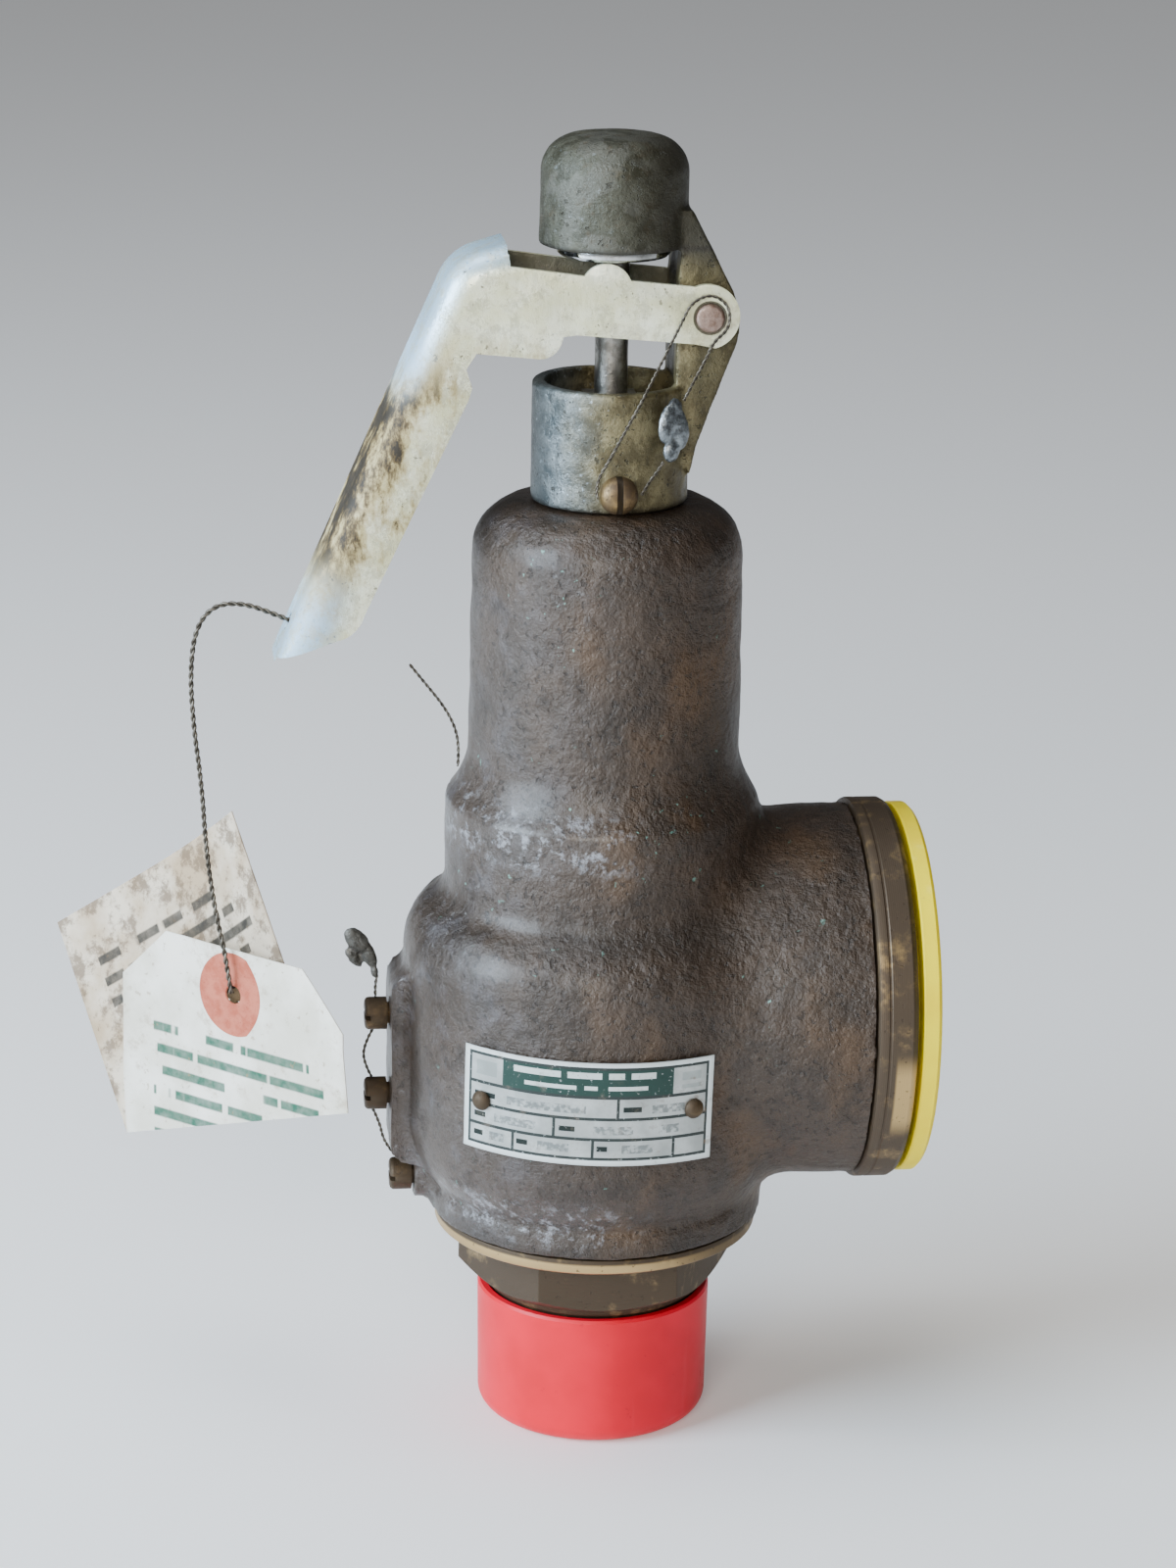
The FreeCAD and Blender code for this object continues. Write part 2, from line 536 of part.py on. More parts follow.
def nameplate_screws():
    """Two round-head drive screws."""
    head_r = 2.7
    screws = []
    for angle in PLATE_SCREW_ANGLES:
        screw = spun_east([(-4.5, 0), (-4.5, DRIVE_SCREW_R - 0.1), (0, DRIVE_SCREW_R - 0.1), (0, head_r), (0.6, head_r),
                           (1.65, head_r * 0.68, 2.1, 0.7), (2.1, 0)], 0)
        screw.rotate(CENTRE, UP, angle)
        screw.translate(plate_point(angle, PLATE_R + PLATE_THICK))
        screws.append(screw)
    return Part.makeCompound(screws)


def soft_block(size, centre, turn_axis, turn, rounding=1.2):
    """Pressed lead seal: a small block with rounded edges, turned about its centre."""
    block = Part.makeBox(*size, V(-size[0] / 2, -size[1] / 2, -size[2] / 2))
    block = block.makeFillet(rounding, block.Edges)
    block.rotate(CENTRE, turn_axis, turn)
    block.translate(V(*centre))
    return block


# ---- protectors --------------------------------------------------------------------------------
def inlet_cap():
    """Red plastic cup pushed over the inlet thread."""
    bore_r = INLET_THREAD_R + 0.2
    return spun([
        (0, 0), (CAP_R - 5.5, 0), (CAP_R - 1.8, 1.7, CAP_R - 0.4, 5.5), (CAP_R, CAP_HEIGHT - 0.8),
        (CAP_R - 0.5, CAP_HEIGHT), (bore_r, CAP_HEIGHT), (bore_r, 5), (bore_r - 0.8, CAP_FLOOR),
        (0, CAP_FLOOR)])


def outlet_plug():
    """Yellow plastic plug: a flange outside the hub, and a hollow taper inside its thread."""
    wall = 2.2
    flange_x = HUB_FACE_X + 1.5
    rim_x = flange_x + 5.0
    tip_x = HUB_FACE_X - 19.0
    tip_r = OUTLET_THREAD_R - 1.6
    return spun_east([
        (tip_x, 0), (tip_x, tip_r - 1), (tip_x + 1, tip_r), (flange_x, OUTLET_THREAD_R - 0.35),
        (flange_x, PLUG_R - 0.4), (flange_x + 0.4, PLUG_R), (rim_x - 1, PLUG_R), (rim_x, PLUG_R - 1),
        (rim_x, OUTLET_THREAD_R - wall - 0.6), (tip_x + wall, tip_r - wall), (tip_x + wall, 0)])


# ---- seal wires and their lead seals -----------------------------------------------------------
def yoke_seal_wire():
    """Wire from the collar screw, round the end of the lever pin and back through the lead seal."""
    over_pin = tube("yoke_seal_wire, long part", [
        (-5.8, -22.6, 267.0), (-6.5, -22.3, 270.6), (-2.4, -22.0, 277.6), (1.6, -21.9, 285.2),
        (5.6, -20.9, 292.2), (9.2, -18.2, 298.4), (12.8, -15.7, 304.8), (16.3, -14.7, 311.4),
        (18.7, -14.6, 317.0), (24.2, -14.6, 319.4), (29.0, -14.6, 316.0), (29.0, -14.6, 310.0),
        (25.0, -14.6, 306.8), (22.6, -15.0, 301.4), (19.6, -16.6, 296.4), (17.0, -18.2, 291.9)], SEAL_WIRE_R)
    to_screw = tube("yoke_seal_wire, short part", [
        (11.6, -20.9, 276.2), (10.0, -20.7, 273.4), (7.6, -21.6, 270.6), (5.8, -22.6, 267.8)], SEAL_WIRE_R)
    return Part.makeCompound([over_pin, to_screw])


def yoke_lead_seal():
    """Pressed lead seal that hangs in front of the collar."""
    angle = -53.6
    return soft_block((9.5, 5.0, 15.0), (24.2 * math.cos(math.radians(angle)),
                                         24.2 * math.sin(math.radians(angle)), 284.0), UP, angle + 90, 1.8)


def ring_seal_wire():
    """Wire that ties the heads of the two ring screws and the lock screw to each other."""
    start = SCREW_HEAD_R + SEAL_WIRE_GAP
    runs = [
        ("to the seal", [(-61.6, 0, UPPER_SCREW_Z + start), (-61.9, 0, 125.2), (-61.2, 0, 128.6)]),
        ("upper", [(-62.4, 0, UPPER_SCREW_Z - start), (-64.6, 0, 108.6), (-65.0, 0, 103.4),
                   (-62.6, 0, LOWER_SCREW_Z + start)]),
        ("lower", [(-62.2, 0, LOWER_SCREW_Z - start), (-60.4, 0, 85.4), (-59.4, 0, 80.6),
                   (-57.4, 0, 77.2), (-55.6, 0, LOCK_SCREW_Z + start)])]
    return Part.makeCompound([tube(f"ring_seal_wire, {name}", points, SEAL_WIRE_R) for name, points in runs])


def ring_lead_seal():
    """Pressed lead seal above the ring screws, leaning outwards."""
    lean = -35
    return soft_block((9.0, 4.6, 13.0), (-65.4, 0, 135.8), NORTH, lean, 1.8)


# ---- tag ---------------------------------------------------------------------------------------
def hung(shape):
    """Turn a tag piece about its hanging line and move it to the end of the wire."""
    shape.rotate(CENTRE, UP, TAG_TURN)
    shape.translate(TAG_HOLE)
    return shape


def tag():
    """Cloth-backed paper tag, folded once across its lower part so that its back leaf points up and west."""
    rise = TAG_HALF * math.tan(math.radians(FOLD_SLOPE))
    fold_west = (-TAG_HALF, -FOLD_DROP - rise)
    fold_east = (TAG_HALF, -FOLD_DROP + rise)
    front = outline([
        (-TAG_HALF, RING_END - CLIP), (-TAG_HALF + CLIP, RING_END), (TAG_HALF - CLIP, RING_END),
        (TAG_HALF, RING_END - CLIP), fold_east, fold_west], lambda x, z: V(x, 0, z)).extrude(V(0, TAG_THICK, 0))
    lean = math.radians(2 * FOLD_SLOPE)
    left_west = TAG_LENGTH - RING_END + fold_west[1]
    left_east = TAG_LENGTH - RING_END + fold_east[1]
    back = outline([
        fold_west, fold_east,
        (fold_east[0] - left_east * math.sin(lean), fold_east[1] + left_east * math.cos(lean)),
        (fold_west[0] - left_west * math.sin(lean), fold_west[1] + left_west * math.cos(lean))],
        lambda x, z: V(x, TAG_THICK, z)).extrude(V(0, TAG_THICK, 0))
    back.rotate(V(fold_west[0], TAG_THICK, fold_west[1]), V(2 * TAG_HALF, 0, 2 * rise), -LEAF_OPENING)
    crease = rod(TAG_THICK, 2 * math.hypot(TAG_HALF, rise), V(fold_west[0], TAG_THICK, fold_west[1]),
                 V(2 * TAG_HALF, 0, 2 * rise))
    hole = rod(TAG_HOLE_R, 10, V(0, -5, 0), NORTH)
    return hung(front.cut(hole).fuse([back, crease]).removeSplitter())


def tag_patch():
    """Round reinforcing patch at the hole of the tag."""
    patch = Part.makeCylinder(12, 0.4, V(0, -0.4, 0), NORTH).cut(rod(TAG_HOLE_R, 4, V(0, -2, 0), NORTH))
    return hung(patch)


def upper_ring_screw():
    """Screw whose tip locks the upper ring."""
    return screw_west(UPPER_SCREW_Z, PAD_X, -31.3)


def lower_ring_screw():
    """Screw whose tip locks the lower ring."""
    return screw_west(LOWER_SCREW_Z, PAD_X, -28.4)


def nozzle_lock_screw():
    """Screw that keeps the nozzle from turning out of the casting."""
    return screw_west(LOCK_SCREW_Z, LOCK_BOSS_X, -NOZZLE_SCREW_R - 0.2)


def tag_wire():
    """Wire that the tag hangs on."""
    return tube("tag_wire", TAG_WIRE_ROUTE, TAG_WIRE_R)


def seal_wire_tail():
    """Snipped end of an earlier seal's wire."""
    return tube("seal_wire_tail", SEAL_TAIL_ROUTE, SEAL_WIRE_R)


SUB_PARTS = (
    body_casting, inlet_nozzle, lower_ring, upper_ring, disc_guide,
    disc, disc_holder, stem, stem_clip, lower_spring_washer, spring, upper_spring_washer, lift_nut, lift_jam_nut,
    compression_screw, compression_lock_nut, lever_yoke, yoke_screw, lever_pin, lever,
    nameplate, nameplate_screws, upper_ring_screw, lower_ring_screw, nozzle_lock_screw,
    inlet_cap, outlet_plug, tag, tag_patch, tag_wire,
    seal_wire_tail, yoke_seal_wire, yoke_lead_seal, ring_seal_wire, ring_lead_seal)

os.makedirs("parts", exist_ok=True)
for sub_part in SUB_PARTS:
    save(sub_part.__name__, sub_part())
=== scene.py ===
# %% [markdown]
# # A bronze relief valve with a lifting lever
# The frame holds every part at its real place and size. This script gives each part the skin of the
# real thing: sand-cast bronze, turned brass, die-cast zinc, plated steel, lead, wire, foil and paper.

# %% Load the frame
import math
import bmesh
import bpy
from mathutils import Matrix, Vector


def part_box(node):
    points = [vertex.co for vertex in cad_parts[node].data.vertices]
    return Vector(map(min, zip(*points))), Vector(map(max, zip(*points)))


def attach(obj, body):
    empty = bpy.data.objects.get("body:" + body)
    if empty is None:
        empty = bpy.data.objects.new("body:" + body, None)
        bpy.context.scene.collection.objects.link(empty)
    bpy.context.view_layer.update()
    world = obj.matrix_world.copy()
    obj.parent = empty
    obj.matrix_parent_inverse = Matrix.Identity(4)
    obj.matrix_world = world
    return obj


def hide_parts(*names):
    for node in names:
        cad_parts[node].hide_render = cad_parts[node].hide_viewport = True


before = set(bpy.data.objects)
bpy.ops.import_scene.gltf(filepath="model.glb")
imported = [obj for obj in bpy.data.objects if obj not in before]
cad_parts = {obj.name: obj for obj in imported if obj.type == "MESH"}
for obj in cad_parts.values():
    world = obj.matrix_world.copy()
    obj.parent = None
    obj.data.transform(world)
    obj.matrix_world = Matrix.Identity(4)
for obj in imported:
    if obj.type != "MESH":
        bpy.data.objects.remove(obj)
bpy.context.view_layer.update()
MM = 0.001
print("parts in the frame:", len(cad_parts))

# %% [markdown]
# ## Camera
# The valve is looked at from a little left of its nameplate and from above, with a long lens, so that
# upright edges stay nearly parallel. A camera can be aimed with a constraint, but three directions put
# into its matrix say exactly where it stands, and a small roll is one more turn of two of them.

# %% Camera
AZIMUTH = math.radians(-7)
ELEVATION = math.radians(17)
ROLL = math.radians(-1.1)
DISTANCE = 1.1503
AIM = Vector((0, 0, 0.18206))
SIDE_STEP = -0.004
LENS = 97.19
SENSOR = 36


def make_camera():
    """Camera that looks at the valve from the front left."""
    back = Vector((math.sin(AZIMUTH) * math.cos(ELEVATION), -math.cos(AZIMUTH) * math.cos(ELEVATION),
                   math.sin(ELEVATION)))
    right = Vector((math.cos(AZIMUTH), math.sin(AZIMUTH), 0))
    up = back.cross(right)
    place = AIM + right * SIDE_STEP + back * DISTANCE
    rolled_right = right * math.cos(ROLL) - up * math.sin(ROLL)
    rolled_up = right * math.sin(ROLL) + up * math.cos(ROLL)
    data = bpy.data.cameras.new("camera")
    data.lens = LENS
    data.sensor_width = SENSOR
    camera = bpy.data.objects.new("camera", data)
    camera.matrix_world = Matrix((rolled_right, rolled_up, back)).transposed().to_4x4()
    camera.location = place
    bpy.context.scene.collection.objects.link(camera)
    bpy.context.scene.camera = camera
    return camera


print("camera at", [round(x, 3) for x in make_camera().location])

# %% [markdown]
# ## Cords
# Two thin steel wires are free: the one that carries the tag, and the snipped end of an old seal on
# the shoulder. Each is two strands wound round each other. The middle line is a smooth spline that a
# few listed points pull into shape, and the strands are wound round that line.

# %% Cord routes
TAG_WIRE_ROUTE = [
    (-0.0830, 0.0, 0.2284), (-0.0890, 0.0, 0.2310), (-0.0970, 0.0, 0.2340), (-0.1045, 0.0, 0.2338),
    (-0.1096, -0.0004, 0.2282), (-0.1114, -0.0012, 0.2170), (-0.1108, -0.0022, 0.2020),
    (-0.1086, -0.0030, 0.1840), (-0.1076, -0.0026, 0.1660), (-0.1054, -0.0024, 0.1490),
    (-0.1028, -0.0036, 0.1370), (-0.1018, -0.0046, 0.1296), (-0.1011, -0.0032, 0.1254)]
SEAL_TAIL_ROUTE = [
    (-0.0396, 0.0, 0.1879), (-0.0393, 0.0, 0.1924), (-0.0402, 0.0, 0.1986), (-0.0436, 0.0, 0.2050),
    (-0.0484, 0.0, 0.2110), (-0.0528, 0.0, 0.2166)]
STEPS_PER_POINT = 28


def smooth_line(points):
    """Places along the open spline that the points pull into shape."""
    data = bpy.data.curves.new("line", "CURVE")
    data.dimensions = "3D"
    data.resolution_u = STEPS_PER_POINT
    spline = data.splines.new("NURBS")
    spline.points.add(len(points) - 1)
    for point, place in zip(spline.points, points):
        point.co = (*place, 1)
    spline.order_u = 3
    spline.use_endpoint_u = True
    holder = bpy.data.objects.new("line", data)
    line = bpy.data.meshes.new_from_object(holder)
    places = [v.co.copy() for v in line.vertices]
    bpy.data.objects.remove(holder)
    return places


def sides_along(places):
    """A side direction for each place that turns as little as it can from one place to the next."""
    ahead = [(b - a).normalized() for a, b in zip(places, places[1:])]
    ahead.append(ahead[-1])
    side = ahead[0].orthogonal().normalized()
    sides = []
    for direction in ahead:
        side = (side - direction * side.dot(direction)).normalized()
        sides.append((side, direction.cross(side)))
    return sides


def tube_mesh(lines, radius):
    """Round closed tubes along lines of places."""
    data = bpy.data.curves.new("tube", "CURVE")
    data.dimensions = "3D"
    data.bevel_depth = radius
    data.bevel_resolution = 2
    data.use_fill_caps = True
    for places in lines:
        spline = data.splines.new("POLY")
        spline.points.add(len(places) - 1)
        for point, place in zip(spline.points, places):
            point.co = (*place, 1)
    holder = bpy.data.objects.new("tube", data)
    mesh = bpy.data.meshes.new_from_object(holder)
    bpy.data.objects.remove(holder)
    mesh.materials.clear()
    return mesh


def twisted_lines(places, offset, pitch, strands=2):
    """Lines of the strands that wind round a middle line."""
    lines = [[] for _ in range(strands)]
    travelled = 0.0
    for i, (place, (side, other)) in enumerate(zip(places, sides_along(places))):
        travelled += (place - places[i - 1]).length if i else 0.0
        for k, line in enumerate(lines):
            angle = 2 * math.pi * (travelled / pitch + k / strands)
            line.append(place + side * (math.cos(angle) * offset) + other * (math.sin(angle) * offset))
    return lines


def length_of(places):
    """Length of a line of places."""
    return sum((b - a).length for a, b in zip(places, places[1:]))


tag_line = smooth_line(TAG_WIRE_ROUTE)
tail_line = smooth_line(SEAL_TAIL_ROUTE)
print("tag wire", round(length_of(tag_line), 4), "m, seal tail", round(length_of(tail_line), 4), "m")

# %% [markdown]
# ## Studio
# A pale floor far wider than the view, a dim world, and soft area lights. The one on the left is
# cool and strong, so the casting has a blue-white sheen on that side and falls off to brown on the
# right. Area lights are chosen because their size makes the shadows and highlights soft.

# %% Floor and lights
FLOOR_HALF = 9.0
FLOOR_TONE = (0.80, 0.80, 0.80, 1)
FLOOR_GLOW = 0.20
WORLD_TINT = (0.93, 0.96, 1.0, 1)
WORLD_STRENGTH = 0.10
LIGHTS = [
    ("window", (-1.40, -0.50, 0.75), 1.0, 72, (0.70, 0.85, 1.0)),
    ("front", (-0.55, -1.9, 1.0), 0.8, 28, (1.0, 0.93, 0.83)),
    ("overhead", (-0.45, 0.10, 1.9), 1.0, 18, (0.97, 0.98, 1.0))]


def make_floor():
    """Pale floor, much larger than the view."""
    bm = bmesh.new()
    bmesh.ops.create_grid(bm, x_segments=8, y_segments=8, size=FLOOR_HALF)
    mesh = bpy.data.meshes.new("floor")
    bm.to_mesh(mesh)
    bm.free()
    floor = bpy.data.objects.new("floor", mesh)
    bpy.context.scene.collection.objects.link(floor)
    material = bpy.data.materials.new("floor_paper")
    material.use_nodes = True
    shader = material.node_tree.nodes["Principled BSDF"]
    shader.inputs["Base Color"].default_value = FLOOR_TONE
    shader.inputs["Roughness"].default_value = 0.9
    shader.inputs["Emission Color"].default_value = (1, 1, 1, 1)
    shader.inputs["Emission Strength"].default_value = FLOOR_GLOW
    mesh.materials.append(material)


def make_light(name, place, size, power, colour):
    """Square soft light aimed at the middle of the valve."""
    data = bpy.data.lights.new(name, "AREA")
    data.shape = "SQUARE"
    data.size = size
    data.energy = power
    data.color = colour
    light = bpy.data.objects.new(name, data)
    light.location = place
    light.rotation_mode = "QUATERNION"
    light.rotation_quaternion = (AIM - Vector(place)).to_track_quat("-Z", "Y")
    bpy.context.scene.collection.objects.link(light)


make_floor()
world = bpy.data.worlds.new("studio")
world.use_nodes = True
background = world.node_tree.nodes["Background"]
background.inputs["Color"].default_value = WORLD_TINT
background.inputs["Strength"].default_value = WORLD_STRENGTH
bpy.context.scene.world = world
for row in LIGHTS:
    make_light(*row)
print("lights:", len(LIGHTS))

# %% [markdown]
# ## Shader maths in Python
# A finish is a tree of nodes, which is slow to read. Here a socket is wrapped in a small class whose
# operators add Math nodes, so a mask is written as a sum, and one method adds any other node.

# %% Sockets and finishes
class Socket:
    """One output of a finish. Operators on it add Math nodes."""

    def __init__(self, finish, socket):
        self.finish = finish
        self.socket = socket

    def maths(self, operation, *values):
        """Math node on this socket's finish."""
        return self.finish.node("Math", {"operation": operation}, dict(enumerate(values)))

    def __add__(self, other):
        return self.maths("ADD", self, other)

    def __radd__(self, other):
        return self.maths("ADD", other, self)

    def __sub__(self, other):
        return self.maths("SUBTRACT", self, other)

    def __rsub__(self, other):
        return self.maths("SUBTRACT", other, self)

    def __mul__(self, other):
        return self.maths("MULTIPLY", self, other)

    def __rmul__(self, other):
        return self.maths("MULTIPLY", other, self)

    def __abs__(self):
        return self.maths("ABSOLUTE", self)

    def over(self, level):
        """1 where the value is over a level, else 0."""
        return self.maths("GREATER_THAN", self, level)

    def under(self, level):
        """1 where the value is under a level, else 0."""
        return self.maths("LESS_THAN", self, level)

    def highest(self, other):
        """The higher of two values."""
        return self.maths("MAXIMUM", self, other)

    def ramp(self, low, high):
        """Smooth step from 0 at low to 1 at high."""
        return self.finish.node("MapRange", {"interpolation_type": "SMOOTHSTEP"},
                                {"Value": self, "From Min": low, "From Max": high})

    def inside(self, low, high, soft):
        """1 between two levels, with soft ends."""
        return self.ramp(low - soft, low + soft) * (1 - self.ramp(high - soft, high + soft))


class Finish:
    """A material under construction."""

    def __init__(self, name, **constants):
        self.material = bpy.data.materials.new(name)
        self.material.use_nodes = True
        self.tree = self.material.node_tree
        self.shader = self.tree.nodes["Principled BSDF"]
        for key, value in constants.items():
            self.shader.inputs[key.replace("_", " ")].default_value = value
        self.place = self.node("TexCoord", output="Object")

    def node(self, kind, settings=None, values=None, output=0):
        """Add a node, set it, feed its sockets, and give one of its outputs."""
        node = self.tree.nodes.new("ShaderNode" + kind)
        for key, value in (settings or {}).items():
            setattr(node, key, value)
        for key, value in (values or {}).items():
            if isinstance(value, Socket):
                self.tree.links.new(value.socket, node.inputs[key])
            elif value is not None:
                node.inputs[key].default_value = value
        return Socket(self, node.outputs[output])

    def axes(self, place=None):
        """The three coordinates of a place."""
        place = place or self.place
        return [self.node("SeparateXYZ", values={"Vector": place}, output=i) for i in range(3)]

    def stretched(self, scale, place=None):
        """A place whose pattern is longer along an axis with a smaller scale."""
        return self.node("Mapping", values={"Vector": place or self.place, "Scale": scale})

    def noise(self, size, detail=3.0, rough=0.55, place=None):
        """Cloudy pattern with blots of about a size, from 0 to 1 round 0.5."""
        return self.node("TexNoise", values={"Vector": place or self.place, "Scale": 1 / size,
                                             "Detail": detail, "Roughness": rough})

    def colour(self, factor, first, second):
        """One colour where the factor is 0 and another where it is 1."""
        return self.node("Mix", {"data_type": "RGBA"},
                         {0: factor, 6: paint(first), 7: paint(second)}, output=2)

    def wear(self, **values):
        """Feed what varies over the surface to the shader."""
        for key, value in values.items():
            self.tree.links.new(value.socket, self.shader.inputs[key.replace("_", " ")])
        return self

    def relief(self, height):
        """Bump from a height in metres."""
        bump = self.node("Bump", values={"Height": height, "Distance": 1.0, "Strength": 1.0})
        self.tree.links.new(bump.socket, self.shader.inputs["Normal"])
        return self


def paint(value):
    """A colour for a socket: another socket, or three numbers."""
    return value if isinstance(value, Socket) else (*value, 1)


# %% [markdown]
# ## Sand-cast bronze
# The body left its mould with a grainy skin, and years in a plant turned it dark brown-grey. Rubbed
# places show warm metal and a few specks went green. The west side carries a painted cool reflection,
# pale flecks that are partly crust and partly painted glints, and painted glints on its ledges. Painted
# shade darkens the neck groove and the foot. Grain is bump at the size of sand; blots, pits and specks
# are layered noise, one mask for each.

# %% Bronze finish
# Each band is its low end, its high end and how soft its ends are.
SHOULDER_LEDGE = (0.170, 0.184, 0.005)
FOOT_LEDGE = (0.066, 0.078, 0.004)
LEDGES_ACROSS = (-0.046, 0.002, 0.010)
# Bands of painted shade in the recess of the neck groove.
NECK_GROOVE_SHADE = (0.1490, 0.1560, 0.0030)
GROOVE_SHADE_ACROSS = (-0.020, 0.030, 0.012)


def bronze_finish():
    """Dark, grainy sand casting with a cool sheen, a painted reflection and glints on the west, and painted
    shade.
    """
    f = Finish("bronze_casting", Metallic=0.25, Specular_IOR_Level=0.60, Coat_Roughness=0.30)
    x, y, z = f.axes()
    blots = f.noise(30 * MM, 4).ramp(0.34, 0.66)
    mottle = f.noise(6 * MM, 6, 0.70).ramp(0.36, 0.66)
    grain = f.noise(0.9 * MM, 3, 0.6)
    sand = f.noise(3.0 * MM, 5, 0.62)
    swell = f.noise(8 * MM, 3, 0.5)
    pits = f.noise(1.9 * MM, 3, 0.6).ramp(0.60, 0.68)
    base = f.colour(blots, (0.024, 0.015, 0.009), (0.044, 0.028, 0.018))
    base = f.colour(mottle * 0.45, base, (0.062, 0.038, 0.022))
    warm = f.noise(24 * MM, 3, 0.5, f.stretched((1, 1, 0.6))).ramp(0.48, 0.70) * 0.6
    warm = warm * x.ramp(-0.040, -0.010)
    base = f.colour(warm, base, (0.096, 0.050, 0.019))
    west = 1 - x.ramp(-0.050, 0.010)
    # Painted reflection: a bluish-pale colour of the cool light on the west side.
    painted_reflection = f.noise(12 * MM, 7, 0.74).ramp(0.46, 0.70) * west * 0.45
    base = f.colour(painted_reflection, base, (0.100, 0.105, 0.125))
    # Pale flecks, heavier on the west: partly crust, partly painted glints of the cool light.
    crust_and_glints = f.noise(3.2 * MM, 6, 0.75).ramp(0.60, 0.68) * f.noise(26 * MM, 2).ramp(0.50, 0.62)
    crust_and_glints = crust_and_glints * (0.10 + west * 0.7)
    base = f.colour(crust_and_glints * 0.6, base, (0.27, 0.28, 0.29))
    green = f.noise(2.4 * MM, 3).ramp(0.685, 0.72) * f.noise(26 * MM, 2).ramp(0.50, 0.60)
    base = f.colour(green * 0.8, base, (0.14, 0.30, 0.25))
    soot = f.noise(9 * MM, 6, 0.72).ramp(0.53, 0.68) * 0.5
    # Painted shade: a dark band in the recess of the neck groove.
    groove = z.inside(*NECK_GROOVE_SHADE) * x.inside(*GROOVE_SHADE_ACROSS) * 0.45
    # Painted shade: darker at the foot, where the casting meets the nozzle's flange.
    foot = (1 - z.ramp(0.062, 0.070)) * 0.5
    # The dark mask joins real soot and pits with the painted shade of the groove and the foot.
    dark = soot.highest(groove).highest(foot).highest(pits * 0.5)
    base = f.colour(dark, base, (0.012, 0.008, 0.005))
    roughness = 0.36 + sand * 0.22 + dark * 0.14
    ledge = z.inside(*SHOULDER_LEDGE).highest(z.inside(*FOOT_LEDGE)) * x.inside(*LEDGES_ACROSS)
    # Painted glints: pale flecks on the ledges of the west side.
    ledge_glints = f.noise(4 * MM, 6, 0.75).ramp(0.50, 0.64) * ledge
    base = f.colour(ledge_glints * 0.7, base, (0.30, 0.31, 0.34))
    sheen = (0.10 + west * 0.42 + ledge * 0.3) * (1 - soot)
    height = grain * (0.38 * MM) + sand * (1.25 * MM) + swell * (1.0 * MM) - pits * (0.35 * MM)
    return f.wear(Base_Color=base, Roughness=roughness, Coat_Weight=sheen).relief(height)


bronze = bronze_finish()
print("finish", bronze.material.name, "with", len(bronze.tree.nodes), "nodes")

# %% [markdown]
# ## Turned brass
# The nozzle, the rim of the outlet and the slotted screws were cut on a lathe. Fine rings from the
# tool stay visible, so the bump repeats along the axis that the piece was turned about. Tarnish is
# brown in patches, with a few bare places that still shine. The nozzle's flange carries a painted
# highlight strip, and the collar screw's slot carries painted shade.

# %% Brass finishes
TOOL_STEP = 0.55 * MM
SLOT_SHADE_HALF = 0.80 * MM


def brass_finish(name, bare, tarnish, amount, axis, roughness, bare_or_highlight=None):
    """Lathe-turned brass with patches of tarnish, turned about one axis. Some places may stay bare, or lose
    tarnish for a painted highlight.
    """
    f = Finish(name)
    x, y, z = f.axes()
    position = {"x": x, "z": z}[axis]
    rings = f.node("Math", {"operation": "SINE"}, {0: position * (2 * math.pi / TOOL_STEP)})
    blots = f.noise(9 * MM, 5, 0.65).ramp(0.5 - amount * 0.32, 0.72 - amount * 0.2)
    smears = f.noise(5 * MM, 4, 0.6, f.stretched((0.35, 0.35, 1) if axis == "z" else (1, 0.35, 0.35)))
    stain = blots.highest(smears.ramp(0.46, 0.66) * 0.85)
    if bare_or_highlight:
        stain = stain * (1 - bare_or_highlight(x, y, z) * 0.85)
    base = f.colour(stain, bare, tarnish)
    specks = f.noise(1.2 * MM, 2).ramp(0.655, 0.70)
    base = f.colour(specks * 0.6, base, (0.04, 0.027, 0.016))
    metal = 0.92 - stain * 0.35
    height = rings * (0.006 * MM) + smears * (0.06 * MM) - specks * (0.05 * MM)
    return f.wear(Base_Color=base, Metallic=metal, Roughness=roughness + stain * 0.22).relief(height)


def flange_highlight(x, y, z):
    """Painted highlight along the rim of the flange just under the casting, brightest towards the west."""
    # Painted highlight: less tarnish in a bright strip along the flange's rim, fading towards the east.
    return z.inside(0.0570, 0.0596, 0.0004) * (1 - x.ramp(0.002, 0.032) * 0.8)


def rubbed_band(x, y, z):
    """Rubbed patch on the front of the outlet's band."""
    return z.inside(0.098, 0.118, 0.004) * (1 - y.ramp(-0.046, -0.040)) * x.ramp(0.0735, 0.0745)


nozzle_brass = brass_finish("machined_brass", (0.56, 0.39, 0.18), (0.064, 0.044, 0.026), 1.25, "z", 0.34,
                            flange_highlight)
band_brass = brass_finish("band_brass", (0.54, 0.37, 0.16), (0.075, 0.053, 0.034), 1.15, "x", 0.32,
                          rubbed_band)
screw_brass = brass_finish("brass_screw", (0.24, 0.155, 0.070), (0.062, 0.042, 0.024), 1.1, "x", 0.36)


def slotted_finish():
    """Brass of the collar's screw, with painted shade in its slot."""
    f = brass_finish("slotted_brass", (0.34, 0.23, 0.10), (0.090, 0.058, 0.032), 0.9, "x", 0.36)
    x, _, _ = f.axes()
    old = f.shader.inputs["Base Color"].links[0].from_socket
    # Painted shade: the slot's recess is coloured dark.
    slot = (x * x).under(SLOT_SHADE_HALF ** 2)
    return f.wear(Base_Color=f.colour(slot * 0.92, Socket(f, old), (0.020, 0.014, 0.008)))


slot_brass = slotted_finish()
print("brass finishes:", [m.material.name for m in (nozzle_brass, band_brass, screw_brass, slot_brass)])

